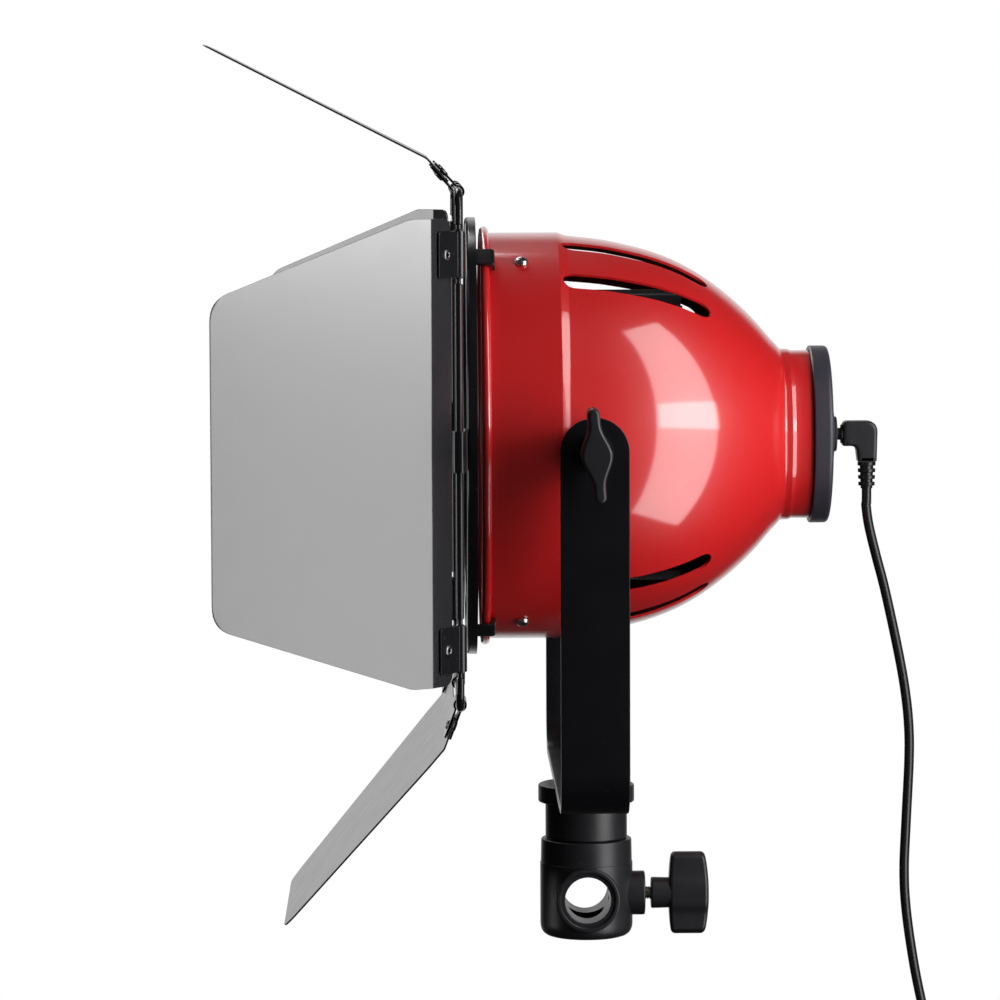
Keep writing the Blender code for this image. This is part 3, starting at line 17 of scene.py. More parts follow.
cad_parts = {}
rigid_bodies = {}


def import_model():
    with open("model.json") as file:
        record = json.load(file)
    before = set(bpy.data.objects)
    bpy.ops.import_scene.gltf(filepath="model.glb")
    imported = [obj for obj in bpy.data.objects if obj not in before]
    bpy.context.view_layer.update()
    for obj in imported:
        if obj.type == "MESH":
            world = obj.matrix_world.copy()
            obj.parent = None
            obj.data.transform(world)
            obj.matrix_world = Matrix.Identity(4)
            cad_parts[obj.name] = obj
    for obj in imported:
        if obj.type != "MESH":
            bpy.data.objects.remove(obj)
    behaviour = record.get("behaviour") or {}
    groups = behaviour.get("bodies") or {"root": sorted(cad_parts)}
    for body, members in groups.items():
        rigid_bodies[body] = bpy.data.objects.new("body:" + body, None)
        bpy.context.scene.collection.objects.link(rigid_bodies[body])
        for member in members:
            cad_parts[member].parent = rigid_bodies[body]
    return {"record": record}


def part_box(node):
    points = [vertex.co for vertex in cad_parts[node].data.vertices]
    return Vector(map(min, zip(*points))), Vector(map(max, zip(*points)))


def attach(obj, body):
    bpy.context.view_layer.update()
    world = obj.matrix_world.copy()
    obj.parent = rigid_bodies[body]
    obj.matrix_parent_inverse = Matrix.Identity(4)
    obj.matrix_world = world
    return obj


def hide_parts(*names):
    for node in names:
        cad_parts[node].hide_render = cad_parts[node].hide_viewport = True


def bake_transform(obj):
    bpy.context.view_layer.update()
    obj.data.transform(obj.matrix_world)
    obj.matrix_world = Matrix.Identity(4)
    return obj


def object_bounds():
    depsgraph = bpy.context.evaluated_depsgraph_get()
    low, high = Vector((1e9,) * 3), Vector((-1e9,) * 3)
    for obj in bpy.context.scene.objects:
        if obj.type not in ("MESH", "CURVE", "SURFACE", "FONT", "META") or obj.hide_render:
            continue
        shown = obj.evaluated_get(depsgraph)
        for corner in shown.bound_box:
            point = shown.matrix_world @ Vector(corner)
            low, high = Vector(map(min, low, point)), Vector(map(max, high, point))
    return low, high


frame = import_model()
CAD_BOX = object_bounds()

MM = 0.001
BODIES = frame["record"]["behaviour"]["bodies"]
BODY_OF = {node: body for body, nodes in BODIES.items() for node in nodes}


def span(node):
    """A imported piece's lowest and highest corner."""
    return [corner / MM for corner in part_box(node)]


def low(node):
    return span(node)[0]


def high(node):
    return span(node)[1]


AXIS_Z = (low("ring_plate").z + high("ring_plate").z) / 2
SLIT = 0.3

# Camera, as the photograph was taken
CAMERA_AIM = Vector((-0.039, 0.0, 0.2005))
CAMERA_DISTANCE = 2.1971
CAMERA_YAW = math.radians(1.01)
CAMERA_PITCH = math.radians(4.38)
CAMERA_ROLL = math.radians(-0.22)
CAMERA_LENS = 173.3

# Receiver
CROSS_BORE_Z = 19.3

# Housing, x measured from the tilt axis and radius from the lamp axis
SHEET = 1.2
BELL_LINE = (
    (-9.3, 91.2), (-4.5, 90.5), (2.0, 89.8), (9.0, 88.8), (16.1, 87.3), (25.2, 85.1), (34.3, 82.1),
    (43.4, 78.1), (52.4, 72.9), (61.5, 66.4), (70.6, 58.6), (77.5, 51.6), (83.0, 45.2), (86.6, 41.3),
)
SMOOTH_FROM, SMOOTH_TO = -6.0, 82.0
PLAIN_ROWS = (-40.0, -30.0, -22.0, -16.0, 97.0)
ROW_GAP = 0.12
COLUMN_TURN = 2.5
SLOT_FRONT = -11.5
SLOT_REAR = 54.5
SLOT_HALF_WIDTH = 5.0
SLOT_PITCH = 20.2
SLOT_COUNT = 5
SLOT_GROUPS = (-3.0, 177.0)

# Leaves: name, angle of the side from the top towards the viewer, and how far each stands open
LEAVES = (("top", 0.0, 27.0), ("near", 90.0, 33.0), ("bottom", 180.0, 49.5), ("far", 270.0, 42.0))
HOOK_ANGLES = (31.0, 151.0, 271.0)
SCREW_ANGLES = (30.2, 150.2, 270.2)
ROD_X = -58.5
ROD_OUT = 112.2
ROD_RADIUS = 1.8
STRAP_OFFSET = 85.5
RIVET_REACH = 10.6
RIVET_HOLE = 1.9

# Lead: its route as (x, z)
CORD_RADIUS = 2.25
CORD_ROUTE = (
    (128.3, 197.3), (129.6, 188.0), (132.9, 174.3), (137.1, 158.2), (143.1, 130.6), (146.4, 112.1),
    (148.1, 96.0), (148.3, 79.8), (147.0, 52.1), (146.1, 28.9), (147.1, 10.3), (150.4, -12.9),
    (154.1, -31.6), (158.2, -48.0),
)
COIL_CENTRE = Vector((161.0, 0.0, -96.0))
COIL_TURNS = 8
COIL_OUTER_RADIUS = 36.0
COIL_PITCH = 5.0
COIL_START_ANGLE = 62.0
COIL_TAIL = 20.0
COIL_POINTS_PER_TURN = 36
TIE_ANGLE = 38.0


# Outlines and lines in a plane


def arc(centre, radius, start, end, count):
    """Points on an arc, angles in degrees."""
    angles = [math.radians(start + (end - start) * k / (count - 1)) for k in range(count)]
    return [(centre[0] + radius * math.cos(a), centre[1] + radius * math.sin(a)) for a in angles]


def circle(radius, centre=(0, 0), count=32):
    return arc(centre, radius, 0, 360, count + 1)[:-1]


def rounded(points, steps=4, closed=False):
    """The line through points; a corner whose point carries a radius is turned by an arc."""
    nearly_straight = math.radians(88)
    found = []
    count = len(points)
    for k, point in enumerate(points):
        here = Vector(point[:2])
        radius = point[2] if len(point) > 2 else 0
        before = Vector(points[k - 1][:2]) - here
        after = Vector(points[(k + 1) % count][:2]) - here
        plain = radius <= 0 or (not closed and k in (0, count - 1))
        if plain or before.angle(after) / 2 > nearly_straight:
            found.append(tuple(here))
            continue
        reach = radius / math.tan(before.angle(after) / 2)
        reach = min(reach, 0.49 * before.length, 0.49 * after.length)
        start = here + before.normalized() * reach
        end = here + after.normalized() * reach
        for step in range(steps + 1):
            t = step / steps
            found.append(tuple(start * (1 - t) ** 2 + here * 2 * t * (1 - t) + end * t**2))
    return found


def rectangle(left, bottom, right, top, radius, steps):
    corners = [(left, bottom), (right, bottom), (right, top), (left, top)]
    return rounded([(*corner, radius) for corner in corners], steps, closed=True)


def smooth_line(points, per_span):
    """Points on a Catmull-Rom curve through the given ones, in any number of dimensions."""
    line = [Vector(p) for p in points]
    ends = [2 * line[0] - line[1], *line, 2 * line[-1] - line[-2]]
    found = []
    for k in range(1, len(ends) - 2):
        p0, p1, p2, p3 = ends[k - 1 : k + 3]
        for step in range(per_span):
            t = step / per_span
            bend = (2 * p0 - 5 * p1 + 4 * p2 - p3) * t**2 + (3 * p1 - p0 - 3 * p2 + p3) * t**3
            found.append(0.5 * (2 * p1 + (p2 - p0) * t + bend))
    return [*found, line[-1]]


# Frames


ALONG = Vector((1, 0, 0))
STANDING = Matrix()


def axes(x_axis, y_axis, z_axis, origin=(0, 0, 0)):
    return Matrix((*zip(x_axis, y_axis, z_axis, origin), (0, 0, 0, 1)))


def shift(x=0.0, y=0.0, z=0.0):
    return Matrix.Translation((x, y, z))


def outwards(angle):
    """Away from the lamp axis, at an angle from the top towards the viewer."""
    a = math.radians(angle)
    return Vector((0, -math.sin(a), math.cos(a)))


def out_frame(angle, x, radius=0.0):
    """Local Z outwards from the lamp axis, local X along it."""
    out = outwards(angle)
    return axes(ALONG, out.cross(ALONG), out, Vector((x, 0, AXIS_Z)) + radius * out)


def hinge_frame(side_angle, opening):
    """A leaf's frame on its rod: local X along the leaf, away from the rod, and local Z outwards."""
    out = outwards(side_angle)
    turn = math.radians(opening)
    along = -ALONG * math.cos(turn) + out * math.sin(turn)
    face = ALONG * math.sin(turn) + out * math.cos(turn)
    return axes(along, face.cross(along), face, Vector((ROD_X, 0, AXIS_Z)) + ROD_OUT * out)


def pivot_frame(sign, lean=0.0):
    """Local Z out of the housing along the tilt axis; sign is -1 on the viewer's side."""
    made = axes(ALONG, (0, 0, -sign), (0, sign, 0), (0, 0, AXIS_Z))
    return made @ Matrix.Rotation(math.radians(lean), 4, "Z")


def rear_frame(x, y=0.0, z=0.0):
    """Local Z rearwards along the lamp axis, local X away from the viewer, local Y up."""
    return axes((0, 1, 0), (0, 0, 1), ALONG, (x, y, AXIS_Z + z))


# Local Z is the lamp axis rearwards, the cross bore away from the viewer, the clamp screw's axis,
# and the way to the viewer
LAMP = axes((0, 0, 1), (0, -1, 0), ALONG, (0, 0, AXIS_Z))
ACROSS = axes((0, 0, 1), ALONG, (0, 1, 0), (0, 0, CROSS_BORE_Z))
CLAMP = axes((0, 1, 0), (0, 0, 1), ALONG, (0, 0, CROSS_BORE_Z))
SIDE_ON = axes(ALONG, (0, 0, 1), (0, -1, 0), (0, 0, AXIS_Z))


# Meshes


def new_piece(name, made, place=STANDING, sharp=32.0):
    """A piece in metres from a bmesh in millimetres: faces outwards, smooth between sharp edges."""
    bmesh.ops.recalc_face_normals(made, faces=made.faces)
    data = bpy.data.meshes.new(name)
    made.to_mesh(data)
    made.free()
    data.transform(Matrix.Scale(MM, 4) @ place)
    data.shade_smooth()
    data.set_sharp_from_angle(angle=math.radians(sharp))
    obj = bpy.data.objects.new(name, data)
    bpy.context.scene.collection.objects.link(obj)
    return obj


def skin(made, rings, closed=False):
    """Faces from each ring of points to the next; a ring of one point ends a body on its axis."""
    pairs = list(zip(rings, rings[1:]))
    if closed:
        pairs.append((rings[-1], rings[0]))
    for one, two in pairs:
        for k in range(max(len(one), len(two))):
            corners = [one[k % len(one)], one[(k + 1) % len(one)]]
            corners += [two[(k + 1) % len(two)], two[k % len(two)]]
            face = list(dict.fromkeys(corners))
            if len(face) > 2:
                made.faces.new(face)


def turned(name, profile, place=STANDING, steps=64, closed=False, sharp=32.0):
    """A turned body from (radius, height) points; an open profile starts and ends on the axis."""
    made = bmesh.new()
    rings = []
    for radius, height in profile:
        ring = circle(radius, count=steps) if radius > 0 else [(0, 0)]
        rings.append([made.verts.new((x, y, height)) for x, y in ring])
    skin(made, rings, closed)
    return new_piece(name, made, place, sharp)


def washer(name, bore, radius, start, end, corners, place=STANDING, steps=56):
    """A flat ring; corners holds the four radii of its section, from the bore's far edge on."""
    section = zip((bore, radius, radius, bore), (end, end, start, start), corners)
    return turned(name, rounded(list(section), 3, closed=True), place, steps, closed=True)


def swept(name, points, sizes, sides, cyclic=False):
    """A round tube along points, with a radius for each, closed by flat ends where it is open."""
    line = [Vector(p) for p in points]
    last = len(line) - 1
    made = bmesh.new()
    rings = []
    side = None
    for k, (here, size) in enumerate(zip(line, sizes)):
        before = line[k - 1] if cyclic or k else here
        after = line[0 if k == last else k + 1] if cyclic or k < last else here
        run = (after - before).normalized()
        if side is None:
            side = run.orthogonal()
        side = (side - run * side.dot(run)).normalized()
        other = run.cross(side)
        turns = circle(1.0, count=sides)
        rings.append([made.verts.new(here + size * (x * side + y * other)) for x, y in turns])
    if cyclic:
        start = min(range(sides), key=lambda j: (rings[0][j].co - rings[-1][0].co).length)
        rings.append(rings[0][start:] + rings[0][:start])
    else:
        made.faces.new(rings[0])
        made.faces.new(rings[-1])
    skin(made, rings)
    return new_piece(name, made)


def threaded(name, radius, pitch, start, end, place=STANDING, steps=28):
    """A screw's thread as one turned skin: the radius follows the turn, and both ends are chamfered."""
    depth = 0.6 * pitch
    flank = 1.35
    chamfer = 1.2
    rows = round((end - start) / pitch * 6)
    made = bmesh.new()
    rings = []
    for row in range(rows + 1):
        height = start + (end - start) * row / rows
        ring = []
        for k, (x, y) in enumerate(circle(1.0, count=steps)):
            phase = (height / pitch - k / steps) % 1.0
            crest = depth * min(1.0, flank * (1 - abs(2 * phase - 1)))
            size = radius - depth + min(crest, (height - start) * chamfer, (end - height) * chamfer)
            ring.append(made.verts.new((size * x, size * y, height)))
        rings.append(ring)
    skin(made, rings)
    made.faces.new(rings[0])
    made.faces.new(rings[-1])
    return new_piece(name, made, place, 50.0)


def turn_sense(line):
    return sum(a[0] * b[1] - b[0] * a[1] for a, b in zip(line, line[1:] + line[:1]))


def cleaned(line):
    """A closed outline without points that lie on each other."""
    same = 0.001
    found = []
    for point in line:
        if not found or math.dist(point, found[-1]) > same:
            found.append(tuple(point[:2]))
    return found[:-1] if math.dist(found[0], found[-1]) < same else found


def plate_mesh(outline, start, end, edge, holes=(), steps=2):
    """A plate from start to end on local Z, its edges rounded over, as a bmesh."""
    made = bmesh.new()
    curve = []
    for k in range(steps + 1):
        a = math.pi / 2 * k / steps
        curve.append((edge * (1 - math.sin(a)), edge * (1 - math.cos(a))))
    layers = [(inset, start + rise) for inset, rise in curve]
    layers += [(inset, end - rise) for inset, rise in reversed(curve)]
    bottom, top = [], []
    for number, loop in enumerate((outline, *holes)):
        loop = cleaned(loop)
        if (turn_sense(loop) > 0) != (number == 0):
            loop.reverse()
        inward = []
        for k, point in enumerate(loop):
            here = Vector(point)
            one = (here - Vector(loop[k - 1])).normalized()
            two = (Vector(loop[(k + 1) % len(loop)]) - here).normalized()
            lean = Vector((-one.y - two.y, one.x + two.x))
            inward.append(lean / max(1.0 + one.dot(two), 0.4))
        rings = []
        for inset, height in layers:
            shifted = [Vector(p) + inset * n for p, n in zip(loop, inward)]
            rings.append([made.verts.new((p.x, p.y, height)) for p in shifted])
        skin(made, rings)
        bottom.append(rings[0])
        top.append(rings[-1])
    for rings, up in ((bottom, -1), (top, 1)):
        edges = [made.edges.get((ring[k - 1], ring[k])) for ring in rings for k in range(len(ring))]
        bmesh.ops.triangle_fill(made, use_beauty=True, edges=edges, normal=(0, 0, up))
    return made


def plate(name, outline, start, end, place=STANDING, edge=0.2, holes=(), steps=2, sharp=40.0):
    return new_piece(name, plate_mesh(outline, start, end, edge, holes, steps), place, sharp)


def fold_path(start, heading, runs):
    """A bent strip's middle line in a plane.

    A run is (length,) for a straight and (radius, turn) for a bend.
    """
    turn_per_cut = 9
    pieces = []
    here = Vector(start)
    angle = math.radians(heading)
    reach = 0.0
    cuts = []
    for run in runs:
        bend = 0.0
        length = run[0]
        if len(run) == 2:
            turn = math.radians(run[1])
            length = run[0] * abs(turn)
            bend = turn / length
            count = max(2, round(abs(run[1]) / turn_per_cut))
            cuts += [reach + length * k / count for k in range(count + 1)]
        pieces.append((reach, reach + length, here.copy(), angle, bend))
        here = fold_point(pieces[-1], reach + length)[0]
        angle += bend * length
        reach += length
    return pieces, cuts


def fold_point(piece, reach):
    """The point at a reach along a path's piece, and the normal there."""
    start, _, here, angle, bend = piece
    far = reach - start
    if bend == 0:
        run = Vector((math.cos(angle), math.sin(angle)))
        return here + run * far, Vector((-run.y, run.x))
    now = angle + bend * far
    way = Vector((math.sin(now) - math.sin(angle), math.cos(angle) - math.cos(now)))
    return here + way / bend, Vector((-math.sin(now), math.cos(now)))


def path_length(path):
    return path[0][-1][1]


def folded_plate(name, outline, thickness, path, place, edge=0.15, holes=()):
    """A flat blank, x along its length, bent along a path that lies in local X and Z."""
    touch = 0.0001
    pieces, cuts = path
    made = plate_mesh(outline, -thickness / 2, thickness / 2, edge, holes)
    for cut in cuts:
        everything = [*made.verts, *made.edges, *made.faces]
        bmesh.ops.bisect_plane(made, geom=everything, dist=touch, plane_co=(cut, 0, 0), plane_no=ALONG)
    for vert in made.verts:
        reach, across, depth = vert.co
        piece = next((p for p in pieces if reach <= p[1] + touch), pieces[-1])
        point, normal = fold_point(piece, reach)
        vert.co = (point.x + normal.x * depth, across, point.y + normal.y * depth)
    return new_piece(name, made, place, 40.0)


def settle(obj, sharp=32.0):
    """Takes a piece's modifiers into its mesh."""
    bpy.context.view_layer.update()
    graph = bpy.context.evaluated_depsgraph_get()
    data = bpy.data.meshes.new_from_object(obj.evaluated_get(graph))
    obj.modifiers.clear()
    obj.data = data
    data.shade_smooth()
    data.set_sharp_from_angle(angle=math.radians(sharp))


def join_with(obj, tool, operation="UNION"):
    """Adds a tool's body to a piece, or cuts it out, and removes the tool."""
    change = obj.modifiers.new(operation.lower(), "BOOLEAN")
    change.operation = operation
    change.object = tool
    change.solver = "EXACT"
    settle(obj)
    bpy.data.objects.remove(tool, do_unlink=True)


def cut_turned(obj, profile, place=STANDING, steps=32):
    """Cuts a turned form out of a piece."""
    join_with(obj, turned("tool", profile, place, steps), "DIFFERENCE")


def bored(obj, radius, start, end, place=STANDING):
    cut_turned(obj, [(0, start), (radius, start), (radius, end), (0, end)], place)


def flatten_faces():
    """Keeps wide flat faces flat where they run into a rounded edge."""
    for obj in bpy.context.scene.objects:
        if obj.type == "MESH" and not obj.data.has_custom_normals:
            change = obj.modifiers.new("flat_faces", "WEIGHTED_NORMAL")
            change.keep_sharp = True


def goes_with(obj, finish, node):
    """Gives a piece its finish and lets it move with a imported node's body."""
    obj.data.materials.clear()
    obj.data.materials.append(finish)
    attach(obj, BODY_OF[node])


def stands_for(obj, finish, node):
    """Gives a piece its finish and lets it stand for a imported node."""
    goes_with(obj, finish, node)
    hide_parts(node)


# Finishes


def shader_group(name, inputs, outputs):
    """A shared node group; each input is (label, default) and each output is (label, kind)."""
    tree = bpy.data.node_groups.new(name, "ShaderNodeTree")
    for label, value in inputs:
        kind = "NodeSocketColor" if isinstance(value, tuple) else "NodeSocketFloat"
        tree.interface.new_socket(label, in_out="INPUT", socket_type=kind).default_value = value
    for label, kind in outputs:
        tree.interface.new_socket(label, in_out="OUTPUT", socket_type=kind)
    return tree, tree.nodes.new("NodeGroupInput"), tree.nodes.new("NodeGroupOutput")


def feed(tree, socket, value):
    """Links a value's socket to an input, or sets the input to a plain value."""
    if isinstance(value, bpy.types.NodeSocket):
        tree.links.new(value, socket)
    else:
        socket.default_value = value


def noise(tree, scale, detail=2.0, stretch=None):
    """Noise in the part's own coordinates; scale is in waves per metre."""
    place = tree.nodes.new("ShaderNodeTexCoord").outputs["Object"]
    if stretch is not None:
        mapping = tree.nodes.new("ShaderNodeMapping")
        mapping.inputs["Scale"].default_value = stretch
        tree.links.new(place, mapping.inputs["Vector"])
        place = mapping.outputs["Vector"]
    made = tree.nodes.new("ShaderNodeTexNoise")
    made.inputs["Detail"].default_value = detail
    tree.links.new(place, made.inputs["Vector"])
    feed(tree, made.inputs["Scale"], scale)
    return made.outputs["Fac"]


def figure(tree, operation, *values):
    """A maths node on sockets or numbers."""
    made = tree.nodes.new("ShaderNodeMath")
    made.operation = operation
    for socket, value in zip(made.inputs, values):
        feed(tree, socket, value)
    return made.outputs[0]


def ramp(tree, value, start, end, low_value=0.0, high_value=1.0):
    made = tree.nodes.new("ShaderNodeMapRange")
    made.interpolation_type = "SMOOTHSTEP"
    for socket, number in zip(made.inputs, (value, start, end, low_value, high_value)):
        feed(tree, socket, number)
    return made.outputs["Result"]


def blended(tree, amount, one, other):
    made = tree.nodes.new("ShaderNodeMix")
    made.data_type = "RGBA"
    for number, value in ((0, amount), (6, one), (7, other)):
        feed(tree, made.inputs[number], value)
    return made.outputs[2]


def make_wear_group():
    """Slow changes of tone, small specks of dust and rubbed patches."""
    inputs = [
        ("Color", (0.5, 0.5, 0.5, 1)),
        ("Roughness", 0.4),
        ("Tone", 0.06),
        ("Dust", 0.15),
        ("Dust Color", (0.45, 0.43, 0.4, 1)),
        ("Rub", 0.08),
    ]
    outputs = [("Color", "NodeSocketColor"), ("Roughness", "NodeSocketFloat")]
    tree, given, found = shader_group("wear", inputs, outputs)
    slow = noise(tree, 14.0, 3.0)
    shade = figure(tree, "MULTIPLY", figure(tree, "SUBTRACT", slow, 0.5), given.outputs["Tone"])
    darker = blended(tree, figure(tree, "ADD", 0.5, shade), (0, 0, 0, 1), given.outputs["Color"])
    doubled = tree.nodes.new("ShaderNodeVectorMath")
    doubled.operation = "SCALE"
    doubled.inputs["Scale"].default_value = 2.0
    tree.links.new(darker, doubled.inputs[0])
    specks = ramp(tree, noise(tree, 900.0, 1.0), 0.70, 0.76)
    patches = ramp(tree, noise(tree, 55.0, 4.0), 0.50, 0.72)
    dust = figure(tree, "MULTIPLY", figure(tree, "MULTIPLY", specks, patches), given.outputs["Dust"])
    dusty = blended(tree, dust, doubled.outputs[0], given.outputs["Dust Color"])
    tree.links.new(dusty, found.inputs["Color"])
    uneven = figure(tree, "SUBTRACT", noise(tree, 70.0, 5.0), 0.5)
    rubbed = figure(tree, "MULTIPLY", uneven, given.outputs["Rub"])
    rough = figure(tree, "ADD", given.outputs["Roughness"], figure(tree, "MULTIPLY", rubbed, 2.0))
    rougher = figure(tree, "ADD", rough, figure(tree, "MULTIPLY", dust, 0.3))
    tree.links.new(rougher, found.inputs["Roughness"])
    return tree


def make_grain_group():
    """A fine moulded or sprayed grain, with a coarser one under it."""
    inputs = [("Scale", 3000.0), ("Waves", 0.5)]
    tree, given, found = shader_group("grain", inputs, [("Height", "NodeSocketFloat")])
    fine = noise(tree, given.outputs["Scale"])
    coarse = noise(tree, figure(tree, "MULTIPLY", given.outputs["Scale"], 0.22), 1.0)
    heights = figure(tree, "ADD", fine, figure(tree, "MULTIPLY", coarse, given.outputs["Waves"]))
    tree.links.new(heights, found.inputs["Height"])
    return tree


def make_brushed_group():
    """Drawn or rolled metal: streaks along one axis, in roughness and in height."""
    inputs = [("Roughness", 0.3), ("Streaks", 0.1), ("Scale", 1200.0)]
    outputs = [("Roughness", "NodeSocketFloat"), ("Height", "NodeSocketFloat")]
    tree, given, found = shader_group("brushed", inputs, outputs)
    streaks = noise(tree, given.outputs["Scale"], stretch=(0.03, 1.0, 1.0))
    spread = figure(tree, "MULTIPLY", figure(tree, "SUBTRACT", streaks, 0.5), given.outputs["Streaks"])
    rough = figure(tree, "ADD", given.outputs["Roughness"], spread)
    tree.links.new(rough, found.inputs["Roughness"])
    tree.links.new(streaks, found.inputs["Height"])
    return tree


WEAR = make_wear_group()
GRAIN = make_grain_group()
BRUSHED = make_brushed_group()


def material(name, settings):
    """A material with its shader, the shader's plain values set."""
    made = bpy.data.materials.new(name)
    made.use_nodes = True
    shader = made.node_tree.nodes["Principled BSDF"]
    for label, value in settings.items():
        shader.inputs[label].default_value = value
    return made, made.node_tree, shader


def put_group(tree, group, values):
    node = tree.nodes.new("ShaderNodeGroup")
    node.node_tree = group
    for label, value in values.items():
        node.inputs[label].default_value = value
    return node


def bumped(tree, shader, height, strength, depth):
    bump = tree.nodes.new("ShaderNodeBump")
    bump.inputs["Strength"].default_value = strength
    bump.inputs["Distance"].default_value = depth * MM
    tree.links.new(height, bump.inputs["Height"])
    tree.links.new(bump.outputs["Normal"], shader.inputs["Normal"])


def coated(name, color, roughness, grain=(3000.0, 0.3, 0.04), wear=(0.06, 0.15, 0.08), settings=None):
    """Paint, plastic or rubber; grain is (scale, strength, depth in mm), wear is (tone, dust, rub)."""
    made, tree, shader = material(name, settings or {})
    scale, strength, depth = grain
    tone, dust, rub = wear
    worn = {"Color": (*color, 1), "Roughness": roughness, "Tone": tone, "Dust": dust, "Rub": rub}
    group = put_group(tree, WEAR, worn)
    tree.links.new(group.outputs["Color"], shader.inputs["Base Color"])
    tree.links.new(group.outputs["Roughness"], shader.inputs["Roughness"])
    grained = put_group(tree, GRAIN, {"Scale": scale})
    bumped(tree, shader, grained.outputs["Height"], strength, depth)
    return made


def metal(name, color, roughness, streaks=0.12, scale=1200.0, strength=0.15, metallic=1.0):
    made, tree, shader = material(name, {"Metallic": metallic})
    worn = {"Color": (*color, 1), "Roughness": roughness, "Tone": 0.1, "Dust": 0.08, "Rub": 0.1}
    group = put_group(tree, WEAR, worn)
    tree.links.new(group.outputs["Color"], shader.inputs["Base Color"])
    drawn = put_group(tree, BRUSHED, {"Roughness": roughness, "Streaks": streaks, "Scale": scale})
    tree.links.new(drawn.outputs["Roughness"], shader.inputs["Roughness"])
    bumped(tree, shader, drawn.outputs["Height"], strength, 0.02)
    return made


LACQUER = {"Coat Weight": 1.0, "Coat Roughness": 0.09, "Coat IOR": 1.7}
ENAMEL_RED = (0.68, 0.009, 0.011)
RED_ENAMEL = coated("red_enamel", ENAMEL_RED, 0.42, (1400.0, 0.1, 0.03), (0.05, 0.25, 0.05), LACQUER)
# Painted shade: the housing's inside wall is the same red enamel darkened to about a third, standing for
# the shade inside the shell
RED_PAINTED_SHADE = (0.22, 0.008, 0.009)
RED_INSIDE_PAINTED_SHADE = coated("red_enamel_inside_painted_shade", RED_PAINTED_SHADE, 0.55, (1400.0, 0.2, 0.04), (0.2, 0.2, 0.1))
GLOSS_BLACK = coated("gloss_black", (0.011, 0.011, 0.013), 0.2, (1600.0, 0.12, 0.03), (0.05, 0.1, 0.06))
POWDER_TONE = (0.005, 0.005, 0.007)
POWDER_BLACK = coated("powder_black", POWDER_TONE, 0.3, (2200.0, 0.35, 0.05), (0.05, 0.08, 0.06))
MOULDED_TONE = (0.017, 0.017, 0.02)
MOULDED_BLACK = coated("moulded_black", MOULDED_TONE, 0.38, (3400.0, 0.4, 0.04), (0.08, 0.12, 0.08))
CAP_BLACK = coated("cap_black", (0.04, 0.038, 0.05), 0.4, (3000.0, 0.35, 0.04), (0.08, 0.15, 0.08))
CORD_BLACK = coated("cord_rubber", (0.012, 0.012, 0.014), 0.26, (2600.0, 0.2, 0.03), (0.05, 0.1, 0.08))
NYLON = coated("nylon_strap", (0.014, 0.014, 0.016), 0.6, (2000.0, 0.8, 0.12), (0.1, 0.25, 0.1))
FIBRE = coated("fibre", (0.09, 0.035, 0.02), 0.7, (1800.0, 0.6, 0.08), (0.2, 0.3, 0.1))
LEAF_TONE = (0.022, 0.022, 0.026)
LEAF_SHEET = coated("leaf_sheet", LEAF_TONE, 0.24, (1500.0, 0.06, 0.02), (0.04, 0.05, 0.03), {"IOR": 1.9})
DARK_ZINC = metal("black_zinc", (0.03, 0.03, 0.033), 0.38)
ZINC = metal("zinc_plate", (0.62, 0.62, 0.61), 0.28)
DARK_METAL = metal("dark_metal", (0.16, 0.16, 0.17), 0.3)
SINK = metal("sink_aluminium", (0.2, 0.2, 0.21), 0.42, 0.2, 900.0, 0.3, 0.9)
CARRIER = coated("carrier_black", (0.03, 0.03, 0.033), 0.4, (1800.0, 0.3, 0.05), (0.1, 0.2, 0.1))
REFLECTOR = metal("reflector_aluminium", (0.85, 0.85, 0.86), 0.12, 0.05, 160.0, 1.0)
BOARD_GREEN = coated("circuit_board", (0.01, 0.09, 0.035), 0.35, (900.0, 0.3, 0.05), (0.15, 0.2, 0.1))
BOARD_WHITE = coated("led_board", (0.75, 0.75, 0.73), 0.4, (1500.0, 0.2, 0.03), (0.05, 0.1, 0.05))
PHOSPHOR = coated("phosphor", (0.85, 0.62, 0.08), 0.45, (2500.0, 0.5, 0.08), (0.15, 0.05, 0.1))
CERAMIC = coated("component_black", (0.02, 0.02, 0.02), 0.5, (2500.0, 0.3, 0.04), (0.1, 0.2, 0.1))
COPPER = metal("copper_winding", (0.75, 0.32, 0.14), 0.3)
CAN_SLEEVE = coated("can_sleeve", (0.02, 0.03, 0.09), 0.35, (1500.0, 0.2, 0.03), (0.1, 0.1, 0.1))


# Receiver and clamp


